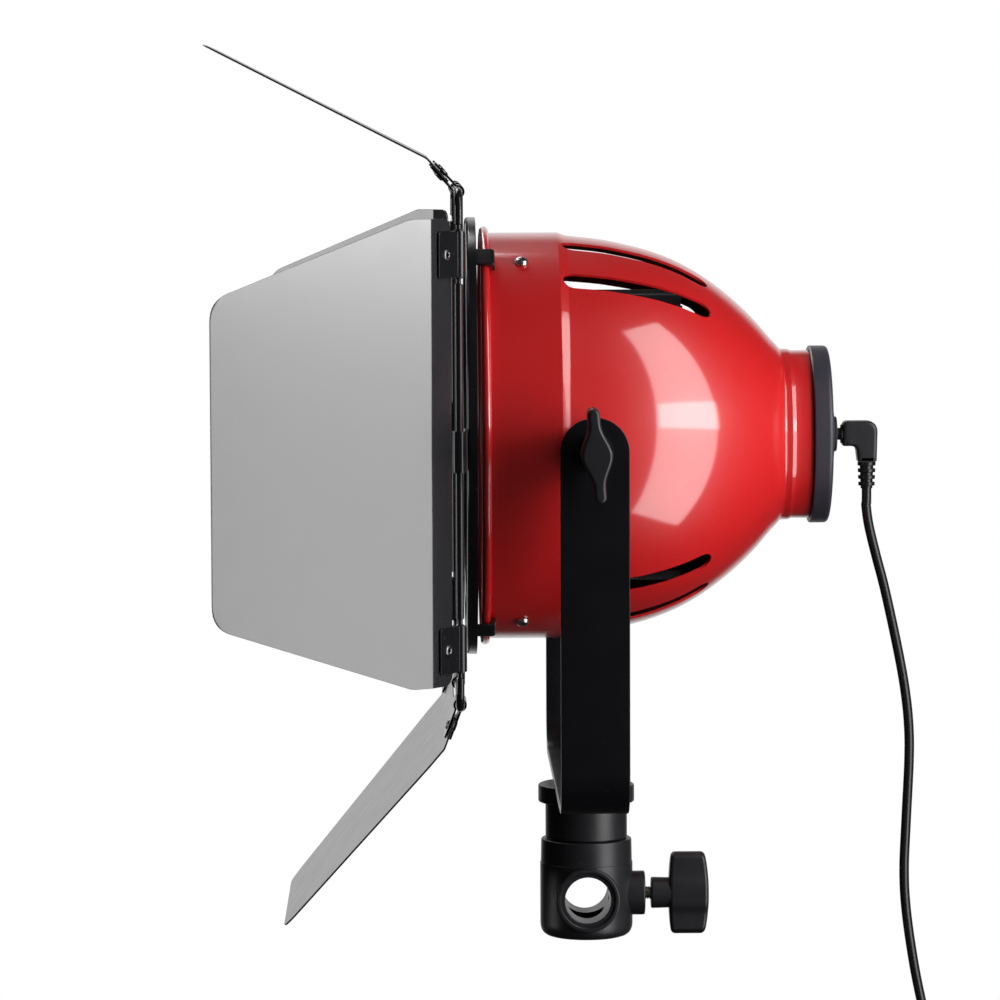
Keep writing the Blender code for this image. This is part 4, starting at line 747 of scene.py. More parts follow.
def make_receiver():
    base = high("receiver_body").z
    end = high("receiver_body").x
    wall, shoulder, cup, step = 21.2, 20.7, 16.3, 34.0
    cup_floor = base - 3.8
    groove = wall - 0.3
    outline = [
        (0, cup_floor), (cup, cup_floor, 0.4), (cup, base, 0.4), (shoulder, base, 0.8),
        (groove, step + 0.5, 0.3), (groove, step + 0.2, 0.1), (wall, step, 0.3), (wall, 0, 6.0), (0, 0),
    ]
    body = turned("receiver_fine", rounded(outline, 6), steps=96)
    face, past = 24.0, 30.0
    cross_boss, clamp_boss = 14.6, 10.1
    boss = rounded([(0, -face), (cross_boss, -face, 0.9), (cross_boss, face, 0.9), (0, face)])
    join_with(body, turned("cross_boss", boss, ACROSS, 72))
    boss = rounded([(0, 12), (clamp_boss, 12), (clamp_boss, end, 0.9), (0, end)])
    join_with(body, turned("clamp_boss", boss, CLAMP, 56))
    bore, recess, flare = 10.5, 12.4, 0.45
    floor = face - 1.2
    half = [(bore, floor - flare), (bore + flare, floor), (recess, floor)]
    half += [(recess, face - flare), (recess + flare, face), (recess + flare, past)]
    cut_turned(body, [(0, -past), *[(r, -y) for r, y in reversed(half)], *half, (0, past)], ACROSS, 72)
    socket, socket_mouth, socket_top = 8.15, 8.75, 36.8
    stud = [(0, -5), (socket_mouth, -5), (socket_mouth, 0)]
    stud += [(socket, 0.6), (socket, socket_top), (0, socket_top)]
    cut_turned(body, stud, steps=56)
    bored(body, 4.3, 30, 50)
    screw = [(0, 3), (3.3, 3), (3.3, end - 0.5), (3.8, end), (3.8, past), (0, past)]
    cut_turned(body, screw, CLAMP)
    stands_for(body, MOULDED_BLACK, "receiver_body")


def make_clamp():
    screw = threaded("clamp_screw_fine", 2.97, 1.0, low("clamp_screw").x, high("clamp_screw").x, CLAMP)
    stands_for(screw, ZINC, "clamp_screw")
    start, end = low("clamp_knob").x, high("clamp_knob").x
    lever_start = 37.8
    half, tip, hub = 19.0, 5.0, 7.3
    corner = arc((half - tip, 0), tip, 62, -62, 9)
    flank = [tuple(p) for p in smooth_line([(0, hub), (5.0, 6.7), (9.5, 4.9), corner[0]], 5)][:-1]
    upper = flank + corner + [(x, -y) for x, y in reversed(flank)]
    outline = upper + [(-x, -y) for x, y in upper[1:-1]]
    deep = (end - lever_start) / 2
    lever = plate_mesh([(y, x) for x, y in outline], -deep, deep, 1.8, steps=5)
    for vert in lever.verts:
        lean = 1.9 * min(1.0, abs(vert.co.y) / half) ** 2.5
        vert.co.z += -lean if vert.co.z > 0 else 0.6 * lean
    knob = new_piece("clamp_knob_fine", lever, CLAMP @ shift(z=lever_start + deep), 40.0)
    stem_end = lever_start + 2
    stem = [(0, start), (hub - 0.1, start, 0.9), (hub - 0.4, stem_end), (0, stem_end)]
    join_with(knob, turned("clamp_knob_hub", rounded(stem), CLAMP, 48))
    bore, mouth = 3.3, 3.8
    line = [(0, start - 1), (mouth, start - 1), (mouth, start), (bore, start + 0.5), (bore, start + 14)]
    cut_turned(knob, [*line, (0, start + 14)], CLAMP)
    stands_for(knob, MOULDED_BLACK, "clamp_knob")


# Swivel and yoke

HEXAGON = circle(7.4, count=6)
BOLT_HOLE = 4.3
PIVOT_HOLE = 3.3


def make_swivel():
    bottom, top = low("swivel_base").z, high("swivel_base").z
    flange, waist, spigot, seat = 22.0, 18.7, 16.0, 45.5
    under = top - 8.0
    outline = [
        (BOLT_HOLE, top), (flange, top, 1.0), (flange, under, 0.8), (waist, under, 0.9),
        (waist, seat, 0.5), (spigot, seat, 0.2), (spigot, bottom, 0.5), (BOLT_HOLE, bottom),
    ]
    base = turned("swivel_base_fine", rounded(outline, 5), steps=96, closed=True)
    stands_for(base, MOULDED_BLACK, "swivel_base")
    start, end = low("swivel_washer").z, high("swivel_washer").z
    flat = washer("swivel_washer_fine", BOLT_HOLE, 11, start, end, (0.2, 0.35, 0.2, 0.1))
    stands_for(flat, ZINC, "swivel_washer")
    head_low, head_top = end + SLIT, high("swivel_bolt").z
    head = plate("swivel_bolt_fine", HEXAGON, head_low, head_top, edge=0.35)
    over = head_top + 1
    chamfer = [(0, over), (9, over), (9, head_top - 1.6), (6.2, head_top), (0, head_top)]
    cut_turned(head, chamfer, steps=48)
    join_with(head, threaded("bolt_shank", 3.97, 1.25, low("swivel_bolt").z, head_low + 0.5))
    stands_for(head, ZINC, "swivel_bolt")
    start, end = low("swivel_nut").z, high("swivel_nut").z
    nut = plate("swivel_nut_fine", HEXAGON, start, end, edge=0.35, holes=[circle(BOLT_HOLE)])
    stands_for(nut, ZINC, "swivel_nut")


def make_yoke():
    thickness, bend, half = 3.0, 18.5, 15.0
    corner = high("yoke_bracket")
    arm = corner.y - thickness / 2
    fall = corner.z - low("yoke_bracket").z - thickness / 2 - bend
    web = 2 * (arm - bend)
    path = fold_path((-arm, corner.z), -90, [(fall,), (bend, 90), (web,), (bend, 90), (fall,)])
    length = path_length(path)
    outline = arc((half, 0), half, 270, 90, 33) + arc((length - half, 0), half, 90, -90, 33)
    places = ((PIVOT_HOLE, half), (BOLT_HOLE, length / 2), (PIVOT_HOLE, length - half))
    holes = [circle(radius, (x, 0)) for radius, x in places]
    place = axes((0, 1, 0), -ALONG, (0, 0, 1))
    bracket = folded_plate("yoke_fine", outline, thickness, path, place, 0.45, holes)
    stands_for(bracket, POWDER_BLACK, "yoke_bracket")


def wing_outline():
    """Half-widths along the wing: a round hub drawn out to two narrow rounded tips."""
    hub, tip = 6.75, 2.6
    reach = 20.4 - tip
    count = 14
    right = []
    for k in range(count + 1):
        swell = 0.5 + 0.5 * math.cos(math.pi * min(1.0, 1.25 * k / count))
        right.append((tip + (hub - tip) * swell**1.15, reach * k / count))
    end = arc((0, reach), tip, 0, 180, 13)
    upper = right[:-1] + end + [(-x, y) for x, y in reversed(right[:-1])]
    return upper + [(-x, -y) for x, y in upper[1:-1]]


def depths(node):
    """How far a piece on the tilt axis starts and ends from the middle."""
    return sorted(abs(corner.y) for corner in span(node))


def make_pivot(side, sign):
    place = pivot_frame(sign)
    start, end = depths(f"tilt_knob_{side}")
    base = start + 7.0
    wing = plate(f"wing_knob_{side}", wing_outline(), base, end, pivot_frame(sign, 4.8), 1.5, steps=5)
    stem = rounded([(0, start), (6.7, start, 0.6), (6.5, base + 1), (0, base + 1)])
    join_with(wing, turned("wing_stem", stem, place, 48))
    bored(wing, PIVOT_HOLE, start - 1, start + 15.4, place)
    stands_for(wing, MOULDED_BLACK, f"tilt_knob_{side}")

    node = f"pivot_washer_{side}"
    flat = washer(f"arm_washer_{side}", PIVOT_HOLE, 8, *depths(node), (0.15, 0.3, 0.15, 0.1), place)
    stands_for(flat, DARK_ZINC, node)
    node = f"friction_disc_{side}"
    disc = washer(f"fibre_disc_{side}", PIVOT_HOLE, 14, *depths(node), (0, 0.25, 0.25, 0), place, 64)
    stands_for(disc, FIBRE, node)

    start, end = depths(f"pivot_bolt_{side}")
    shank, head = 2.9, 7.0
    line = [(0, end), (shank, end, 0.5), (shank, start + 2.5), (head, start + 2.5, 0.2)]
    line += [(0.8 * head, start + 0.75, 1.5), (0.4 * head, start, 1.0), (0, start)]
    stands_for(turned(f"carriage_bolt_{side}", rounded(line), place, 40), ZINC, f"pivot_bolt_{side}")

    made = bmesh.new()
    seat = depths(f"pivot_spacer_{side}")[1]
    rings = []
    for radius, at_seat in ((PIVOT_HOLE, False), (11, False), (11, True), (PIVOT_HOLE, True)):
        ring = []
        for x, y in circle(radius, count=56):
            reach = seat if at_seat else math.sqrt(shell_radius(x) ** 2 - y**2) + SLIT
            ring.append(made.verts.new((x, y, reach)))
        rings.append(ring)
    skin(made, rings, closed=True)
    stands_for(new_piece(f"arm_spacer_{side}", made, place, 40.0), POWDER_BLACK, f"pivot_spacer_{side}")


# Housing


def shell_outline():
    """The housing's outer line from behind the bead to the end of the neck, as (x, radius)."""
    band = rounded([(-46.2, 92.4), (-12.9, 92.4, 0.9), (-9.3, 91.1, 1.3), (-4.5, 90.5)], 5)[:-1]
    bell = [tuple(p) for p in smooth_line(BELL_LINE[1:], 3)]
    neck = [bell[-1], (88.6, 38.95, 2.6), (91.9, 38.95, 0.5), (93.6, 38.3, 0.6), (101.4, 38.3)]
    return band + bell[:-1] + rounded(neck, 5)


SHELL_LINE = shell_outline()


def shell_radius(x):
    return float(np.interp(x, *zip(*SHELL_LINE)))


def slot_turn(x):
    """Half the angle that a slot is open at a place along it."""
    if not SLOT_FRONT < x < SLOT_REAR:
        return 0.0
    r = SLOT_HALF_WIDTH
    past = max(SLOT_FRONT + r - x, x - (SLOT_REAR - r), 0.0)
    return math.degrees(math.sqrt(max(0.0, r * r - past * past)) / shell_radius(x))


def shell_rows():
    """Where the housing's rings of points stand, close together at the slots' round ends."""
    rows = [x for x, _ in SHELL_LINE] + list(PLAIN_ROWS)
    for end, sense in ((SLOT_FRONT, 1), (SLOT_REAR, -1)):
        rows += [end + sense * SLOT_HALF_WIDTH * (1 - math.cos(math.radians(15 * k))) for k in range(7)]
    rows.sort()
    kept = rows[:1]
    for x in rows[1:]:
        if x - kept[-1] > ROW_GAP:
            kept.append(x)
        elif x in (SLOT_FRONT, SLOT_REAR):
            kept[-1] = x
    return kept


def ring_angles(turn):
    """The angles of a ring's points in pairs, the two of a pair apart only across an open slot."""
    found = []
    reach = SLOT_COUNT / 2 * SLOT_PITCH
    parts = 4
    for group, follow in zip(SLOT_GROUPS, (SLOT_GROUPS[1], SLOT_GROUPS[0] + 360)):
        for k in range(SLOT_COUNT):
            centre = group - reach + (k + 0.5) * SLOT_PITCH
            ways = [SLOT_PITCH / 2 * (1 - part / parts) + turn * part / parts for part in range(parts)]
            found += [(centre - way,) * 2 for way in ways]
            found.append((centre - turn, centre + turn))
            found += [(centre + way,) * 2 for way in reversed(ways[1:])]
        gap = follow - group - 2 * reach
        count = round(gap / COLUMN_TURN)
        found += [(group + reach + gap * k / count,) * 2 for k in range(count)]
    return found


def make_housing():
    made = bmesh.new()
    grid = []
    for x in shell_rows():
        row = []
        for pair in ring_angles(slot_turn(x)):
            radius = shell_radius(x)
            places = [radius * outwards(angle) for angle in dict.fromkeys(pair)]
            verts = [made.verts.new(place + Vector((x, 0, 0))) for place in places]
            row.append((verts[0], verts[-1]))
        grid.append(row)
    for one, two in zip(grid, grid[1:]):
        for k in range(len(one)):
            after = (k + 1) % len(one)
            face = list(dict.fromkeys((one[k][1], one[after][0], two[after][0], two[k][1])))
            if len(face) > 2:
                made.faces.new(face)
    shell = new_piece("housing_fine", made, shift(z=AXIS_Z))
    first = shell.data.polygons[0]
    if first.normal.dot(first.center - Vector((0, 0, AXIS_Z * MM))) < 0:
        shell.data.flip_normals()
    shell.data.materials.append(RED_ENAMEL)
    # The second finish is the red darkened as painted shade; the wall's inner side takes it below
    shell.data.materials.append(RED_INSIDE_PAINTED_SHADE)
    wall = shell.modifiers.new("wall", "SOLIDIFY")
    wall.thickness = SHEET * MM
    wall.offset = -1
    wall.use_even_offset = True
    wall.material_offset = 1
    wall.bevel_convex = 1.0
    edge = shell.modifiers.new("edge", "BEVEL")
    edge.limit_method = "WEIGHT"
    edge.width = 0.28 * MM
    edge.segments = 2
    settle(shell, 40.0)
    for sign in (-1, 1):
        bored(shell, 3.4, 70, 100, pivot_frame(sign))
    join_meshes(shell, turned("bead", circle(2.1, (93.2, -46.2), 16), LAMP, 144, closed=True))
    shell.data.set_sharp_from_angle(angle=math.radians(38))
    shade_bell(shell.data)
    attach(shell, BODY_OF["housing_shell"])
    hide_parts("housing_shell")


def shade_bell(data):
    """Shades the bell by its own even curve, so that no facet shows in a reflection."""
    slope = np.polyder(np.polyfit(*zip(*BELL_LINE), 6))
    close = math.cos(math.radians(12))
    normals = [corner.vector.copy() for corner in data.corner_normals]
    for face in data.polygons:
        for corner in face.loop_indices:
            place = data.vertices[data.loops[corner].vertex_index].co / MM
            if not SMOOTH_FROM < place.x < SMOOTH_TO:
                continue
            out = Vector((0, place.y, place.z - AXIS_Z)).normalized()
            true = (out - ALONG * float(np.polyval(slope, place.x))).normalized()
            match = face.normal.dot(true)
            if abs(match) > close:
                normals[corner] = true * math.copysign(1, match)
    data.normals_split_custom_set(normals)


def join_meshes(obj, other):
    """Takes another piece's mesh into this one."""
    made = bmesh.new()
    made.from_mesh(obj.data)
    made.from_mesh(other.data)
    made.to_mesh(obj.data)
    made.free()
    bpy.data.objects.remove(other, do_unlink=True)


def make_cap():
    face, rim, radius, inner, boss, bore = 110.3, 101.7, 40.4, 36.8, 13.6, 5.9
    spigot = low("rear_cap").x
    wall = 2.4
    raised = face + 2.6
    outline = [
        (bore, raised), (boss, raised, 1.2), (boss, face, 0.6), (radius, face, 2.2), (radius, rim, 0.7),
        (inner, rim, 0.2), (inner, spigot, 0.4), (inner - wall, spigot, 0.4),
        (inner - wall, face - wall, 1.0), (bore, face - wall),
    ]
    cap = turned("cap_fine", rounded(outline, 5), LAMP, 96, closed=True)
    stands_for(cap, CAP_BLACK, "rear_cap")
    back, front = low("dc_socket").x, high("dc_socket").x
    seat = front - 1.4
    pin, barrel, flange, thread = 0.9, 3.05, 8.0, 5.6
    line = [
        (0, front - 1.5), (pin, front - 1.5, 0.3), (pin, front - 10.5), (barrel, front - 10.5),
        (barrel, front, 0.3), (flange, front, 0.5), (flange, seat, 0.1), (thread, seat),
        (thread, back, 0.3), (0, back),
    ]
    stands_for(turned("socket_fine", rounded(line, 3), LAMP, 48), MOULDED_BLACK, "dc_socket")
    outline = circle(8.2, count=6)
    start, end = low("socket_nut").x, high("socket_nut").x
    nut = plate("socket_nut_fine", outline, start, end, LAMP, 0.3, [circle(bore)])
    stands_for(nut, ZINC, "socket_nut")


def make_band_screw(number, angle):
    place = out_frame(angle, -29.9, 92.7)
    head, radius = 1.9, 2.95
    line = [(0, head), (1.5, 0.97 * head), (2.35, 0.78 * head), (2.8, 0.45 * head)]
    line += [(radius, 0.12 * head), (radius, 0), (1.5, 0), (1.5, -6), (0, -6)]
    screw = turned(f"pan_screw_{number}", line, place, 36)
    reach, arm = 1.75, 0.33
    cross = [(arm, arm), (arm, reach), (-arm, reach), (-arm, arm), (-reach, arm), (-reach, -arm)]
    cross += [(-x, -y) for x, y in cross]
    turn = Matrix.Rotation(math.radians(23 + 40 * number), 4, "Z")
    tool = plate("screw_tool", cross, head - 1.2, head + 1.2, place @ turn, 0.01, steps=1)
    join_with(screw, tool, "DIFFERENCE")
    stands_for(screw, ZINC, f"band_screw_{number}")


# Light source, inside


def make_sink():
    fins = 28
    edge = [(24.6, 1.25), (30, 1.15), (66.0, 0.85), (66.3, 0.5)]
    fin = [(radius, -width) for radius, width in edge] + edge[::-1]
    outline = []
    for k in range(fins):
        for radius, width in fin:
            a = 2 * math.pi * k / fins + math.asin(0.95 * width / radius)
            outline.append((radius * math.cos(a), radius * math.sin(a)))
    start, end = low("heat_sink").x, high("heat_sink").x
    sink = plate("sink_fine", outline, start, end, LAMP, 0.12, steps=1, sharp=30.0)
    stands_for(sink, SINK, "heat_sink")


def make_carrier():
    rear, front, outer, wall, window = -14.3, -41.0, 90.9, 1.4, 34.0
    floor = rear - 2.0
    line = [
        (window, rear, 0.3), (outer, rear, 2.2), (outer, front, 0.4), (outer - wall, front, 0.4),
        (outer - wall, floor, 1.2), (window, floor, 0.3),
    ]
    pan = turned("pan_fine", rounded(line, closed=True), LAMP, 128, closed=True)
    stands_for(pan, CARRIER, "led_carrier")


def make_led():
    rear = high("led_module").x
    face = rear - 2.0
    square = rectangle(-22, -22, 22, 22, 2.0, 4)
    board = plate("led_board_fine", square, face, rear, rear_frame(0), 0.15)
    stands_for(board, BOARD_WHITE, "led_module")
    dam = [(12.0, 0), (12.0, -0.65), (11.7, -0.85), (11.2, -0.85), (11.0, -0.6), (11.0, 0)]
    ring = turned("led_dam", [(r, face + d) for r, d in dam], LAMP, 64, closed=True)
    goes_with(ring, BOARD_WHITE, "led_module")
    disc = [(0, -0.62), (8, -0.6), (10.95, -0.5), (10.95, -0.02), (0, -0.02)]
    phosphor = turned("led_phosphor", [(r, face + d) for r, d in disc], LAMP, 48)
    goes_with(phosphor, PHOSPHOR, "led_module")
    for k, corner in enumerate((16, -16), 1):
        outline = rectangle(-2.2, -1.5, 2.2, 1.5, 0.6, 3)
        place = rear_frame(face - 0.06, corner, corner)
        pad = plate(f"led_pad_{k}", outline, -0.05, 0.05, place, 0.03, steps=1)
        goes_with(pad, COPPER, "led_module")


def make_reflector():
    sheet = 0.8
    lip = low("reflector").x
    throat = high("reflector").x - sheet
    hole, inner, outer, brim = 13.0, 15.5, 86.5, 90.5
    count = 24
    front = []
    for k in range(count + 1):
        t = k / count
        front.append((inner + (outer - inner) * t, throat + (lip - throat) * t**1.7))
    rear = [(r, x + sheet) for r, x in reversed(front)]
    line = [(hole, throat), *front, (brim, lip), (brim, lip + sheet), *rear, (hole, throat + sheet)]
    bowl = turned("bowl_fine", line, LAMP, 128, closed=True, sharp=30.0)
    stands_for(bowl, REFLECTOR, "reflector")


def make_driver():
    board_x, thickness = 52.9, 1.6
    square = rectangle(-23, -23, 23, 23, 1.0, 3)
    half = thickness / 2
    board = plate("driver_fine", square, -half, half, rear_frame(board_x), 0.1)
    stands_for(board, BOARD_GREEN, "driver_board")
    seat = board_x + half
    under = board_x - half - 0.05
    post = rounded([(0, -9.0), (2.5, -9.0, 0.3), (2.5, 0, 0.2), (0, 0)], 3)
    head = rounded([(0, 0), (2.6, 0, 0.1), (2.6, 1.4, 0.6), (0, 1.6)], 3)
    for k, (y, z) in enumerate(((-18, -18), (-18, 18), (18, -18), (18, 18)), 1):
        goes_with(turned(f"driver_post_{k}", post, rear_frame(under, y, z), 24), ZINC, "driver_board")
        goes_with(turned(f"driver_screw_{k}", head, rear_frame(seat, y, z), 24), ZINC, "driver_board")
    cans = (
        ("can_large", 6.4, 16.9, 9, 8, CAN_SLEEVE),
        ("can_small", 4.4, 11.9, -4, 12, CAN_SLEEVE),
        ("choke_core", 7.9, 8.9, -8, -8, CERAMIC),
    )
    for name, r, h, y, z, finish in cans:
        line = [(0, 0), (r - 0.3, 0, 0.3), (r, 1.2, 0.5)]
        line += [(r, h, 0.8), (r - 1.0, h - 0.2, 0.2), (0, h - 0.2)]
        goes_with(turned(name, rounded(line, 3), rear_frame(seat, y, z), 40), finish, "driver_board")
    chips = (
        ("driver_chip", 7.0, 5.0, 1.6, 12, -13),
        ("bridge", 5.0, 8.0, 3.0, 17, -3),
        ("terminal", 8.0, 6.5, 8.0, -15, 3),
        ("fuse", 3.5, 9.0, 3.5, 1, -18),
    )
    for name, wide, tall, height, y, z in chips:
        outline = rectangle(-wide / 2, -tall / 2, wide / 2, tall / 2, 0.4, 3)
        goes_with(plate(name, outline, 0, height, rear_frame(seat, y, z)), CERAMIC, "driver_board")


# Door ring, rods, straps and leaves


def make_ring():
    front, rear = low("ring_plate").x, high("ring_plate").x
    outer, hole = 99.5, 84.0
    lip = front + 3.6
    line = [
        (outer - SHEET, rear, 0.3), (outer, rear, 0.3), (outer, front, 1.9), (hole, front, 0.8),
        (hole, lip, 0.3), (hole + SHEET, lip, 0.3), (hole + SHEET, front + SHEET, 0.4),
        (outer - SHEET, front + SHEET, 0.8),
    ]
    ring = turned("ring_fine", rounded(line, 5, closed=True), LAMP, 160, closed=True)
    stands_for(ring, GLOSS_BLACK, "ring_plate")


def make_hook(number, angle):
    base = low("ring_plate").x + 1.5
    foot, over, rear, catch = 86.4, 95.8, -41.8, 92.9
    line = [
        (base, foot, 0.3), (base + SHEET, foot, 0.3), (base + SHEET, over, 0.7),
        (rear - SHEET, over, 1.9), (rear - SHEET, catch, 0.35), (rear, catch, 0.35),
        (rear, over + SHEET, 2.6), (base, over + SHEET, 1.6),
    ]
    out = outwards(angle)
    across = ALONG.cross(out)
    place = axes(ALONG, out, across, (0, 0, AXIS_Z))
    hook = plate(f"hook_fine_{number}", rounded(line, 5, closed=True), -6, 6, place, 0.35, steps=3)
    stands_for(hook, GLOSS_BLACK, f"ring_hook_{number}")
    head = rounded([(0, 0.75), (1.5, 0.7, 0.5), (2.3, 0, 0.2), (0, 0)], 3)
    sunk = [(r, z - 0.2) for r, z in head]
    for k, offset in enumerate((-3.2, 3.2), 1):
        seat = axes(across, out, -ALONG, Vector((base, 0, AXIS_Z)) + 89.8 * out + offset * across)
        goes_with(turned(f"hook_weld_{number}_{k}", sunk, seat, 20), GLOSS_BLACK, f"ring_hook_{number}")


def make_rods():
    corner, neck = 8.0, 1.2
    ends = []
    for strap in (-STRAP_OFFSET, STRAP_OFFSET):
        for sense in (-1, 1):
            start = strap + sense * 10.3
            for past, size in ((0.0, ROD_RADIUS), (0.4, neck), (2.4, neck), (2.8, ROD_RADIUS)):
                ends.append((start + sense * past, size))
    stop = ROD_OUT - corner
    side = [(along, size) for along, size in sorted(ends) if abs(along) < stop]
    side = [(0.2 - stop, ROD_RADIUS), *side, (stop - 0.2, ROD_RADIUS)]
    quarter = [((along, ROD_OUT), size) for along, size in side]
    quarter += [(point, ROD_RADIUS) for point in arc((stop, stop), corner, 90, 0, 9)]
    points, sizes = [], []
    for k in range(4):
        turn = Matrix.Rotation(math.radians(-90 * k), 2)
        for point, size in quarter:
            y, z = turn @ Vector(point)
            points.append((ROD_X, y, AXIS_Z + z))
            sizes.append(size)
    stands_for(swept("rods_fine", points, sizes, 20, cyclic=True), GLOSS_BLACK, "door_rods")


def make_tab(name, angle):
    radius = ROD_RADIUS + 0.28 + 0.5
    a = math.radians(290)
    path = fold_path((radius * math.cos(a), radius * math.sin(a)), 200, [(radius, -290), (22.0,)])
    length = path_length(path)
    outline = rounded([(0, -9, 1), (length, -9, 3), (length, 9, 3), (0, 9, 1)], 6, closed=True)
    tab = folded_plate(f"tab_fine_{name}", outline, 1.0, path, out_frame(angle, ROD_X, ROD_OUT), 0.2)
    stands_for(tab, GLOSS_BLACK, f"rod_tab_{name}")


def leaf_outline():
    """The leaf's blank: distance from the rod, half-width and corner radius."""
    side = [(6.0, 101.0, 6.0), (30.4, 101.0, 14.0), (130.0, 68.6, 13.0)]
    return rounded(side + [(x, -y, radius) for x, y, radius in reversed(side)], 8, closed=True)


def make_leaf(name, side_angle, opening):
    place = hinge_frame(side_angle, opening)
    bend, turn, fold = 3.0, 20.0, 20.0
    setback = bend * math.tan(math.radians(turn / 2))
    path = fold_path((0, 0), turn, [(fold - setback,), (bend, -turn), (112.0,)])
    holes = [circle(RIVET_HOLE, (RIVET_REACH, y), 20) for y in (-STRAP_OFFSET, STRAP_OFFSET)]
    leaf = folded_plate(f"leaf_fine_{name}", leaf_outline(), 0.8, path, place, 0.22, holes)
    stands_for(leaf, LEAF_SHEET, f"leaf_{name}")

    flange = place @ Matrix.Rotation(math.radians(-turn), 4, "Y")
    loop, tail, level, small = 2.53, 16.0, 1.15, 0.8
    across = math.sqrt((loop + small) ** 2 - (level + small) ** 2)
    meet = math.degrees(math.atan2(level + small, across))
    closing = [(small, meet - 90), (tail - across,)]
    strap_path = fold_path((tail, level), 180, [*closing[::-1], (loop, 360 - 2 * meet), *closing])
    length = path_length(strap_path)
    blank = rectangle(0, -10, length, 10, 1.6, 5)
    rivet_at = tail - RIVET_REACH
    bores = [circle(RIVET_HOLE, (spot, 0), 20) for spot in (rivet_at, length - rivet_at)]
    half = [(0.95, 1.0), (0.95, 2.05), (1.35, 2.3), (1.9, 2.25), (2.45, 1.9), (2.6, 1.62), (1.75, 1.6)]
    line = half + [(r, -z) for r, z in reversed(half)]
    for label, sign in (("a", 1), ("b", -1)):
        node = f"hinge_strap_{name}_{label}"
        spot = flange @ shift(y=sign * STRAP_OFFSET)
        strap = folded_plate(f"strap_fine_{name}_{label}", blank, 0.9, strap_path, spot, 0.15, bores)
        stands_for(strap, GLOSS_BLACK, node)
        rivet = turned(f"rivet_{name}_{label}", line, spot @ shift(RIVET_REACH), 28, closed=True)
        goes_with(rivet, DARK_METAL, node)


# Plug, lead and coil


def make_plug():
    """The plug on the cap; gives the place where the lead leaves its strain relief."""
    start, end = low("plug_barrel").x, high("plug_barrel").x
    line = [(1.3, start, 0.2), (2.75, start, 0.3), (2.75, end), (1.3, end)]
    barrel = turned("barrel_fine", rounded(line, 3, closed=True), LAMP, 48, closed=True)
    stands_for(barrel, DARK_METAL, "plug_barrel")
    lowest, highest = span("plug_elbow")
    body, back = lowest.x, highest.x
    up, down = highest.z - AXIS_Z, lowest.z - AXIS_Z
    half = (highest.y - lowest.y) / 2
    leg = back - 9.6
    outline = [
        (body, -5.4, 0.8), (leg - 0.4, -5.4, 2.6), (leg + 0.5, down, 0.4), (back - 0.5, down, 0.4),
        (back, up, 5.2), (body, up, 2.6),
    ]
    elbow = plate("elbow_fine", rounded(outline, 8, closed=True), -half, half, SIDE_ON, 1.7, steps=5)
    bored(elbow, 3.05, body - 5, end + SLIT, LAMP)
    stands_for(elbow, MOULDED_BLACK, "plug_elbow")
    line = rectangle(3.1, body - 0.75, 4.3, body + 0.1, 0.2, 3)
    goes_with(turned("plug_collar", line, LAMP, 48, closed=True), MOULDED_BLACK, "plug_elbow")

    lowest, highest = span("strain_relief")
    top, bottom = highest.z, lowest.z
    x = (lowest.x + highest.x) / 2
    ribs = 4
    pitch = (top - bottom) / ribs
    outer = [(0, top)]
    for k in range(ribs):
        wide = 4.2 - 0.13 * k
        groove = wide - 1.1
        rib_top = top - pitch * k
        rib_low = rib_top - 0.56 * pitch
        outer += [(wide, rib_top, 0.3), (wide - 0.1, rib_low, 0.35)]
        outer += [(groove, rib_low - 0.1, 0.15), (groove, rib_top - pitch + 0.05, 0.15)]
    exit_z = bottom + 3
    mouth = CORD_RADIUS + 0.3
    outer += [(mouth, bottom), (mouth, exit_z), (0, exit_z)]
    stands_for(turned("relief_fine", rounded(outer, 3), shift(x), 48), CORD_BLACK, "strain_relief")
    return Vector((x, 0, exit_z - SLIT))


def coil_line():
    """The lead from its first turn, wound inwards and out again in a second layer, to its tail."""
    layer = COIL_PITCH / 2
    half_turns = COIL_TURNS / 2
    whole = COIL_TURNS + COIL_START_ANGLE / 360
    count = round(whole * COIL_POINTS_PER_TURN)
    points = []
    for k in range(count + 1):
        turns = whole * k / count
        radius = COIL_OUTER_RADIUS - COIL_PITCH * (half_turns - abs(half_turns - turns))
        climb = min(1.0, max(0.0, (turns - (half_turns - 0.25)) / 0.5))
        y = layer * (2 * climb * climb * (3 - 2 * climb) - 1)
        a = math.radians(COIL_START_ANGLE - 360 * turns)
        points.append(COIL_CENTRE + Vector((radius * math.cos(a), y, radius * math.sin(a))))
    start_run = (points[0] - points[1]).normalized() * 2 * CORD_RADIUS
    return [points[0] + start_run, *points, points[-1] + Vector((0, 0, -COIL_TAIL))]


def lead_line(leaves_at):
    """The whole lead's middle line, from its exit through the coil to the connector."""
    coil = coil_line()
    run = (coil[0] - coil[1]).normalized()
    meet = coil[0] + run * SLIT
    route = [leaves_at, leaves_at - Vector((0, 0, 4 * CORD_RADIUS))]
    half = len(CORD_ROUTE) / 2
    for k, (x, z) in enumerate(CORD_ROUTE):
        route.append(Vector((x, meet.y * max(0.0, k / half - 1), z)))
    route += [meet + run * 2 * CORD_RADIUS, meet]
    return smooth_line(route, 6) + coil


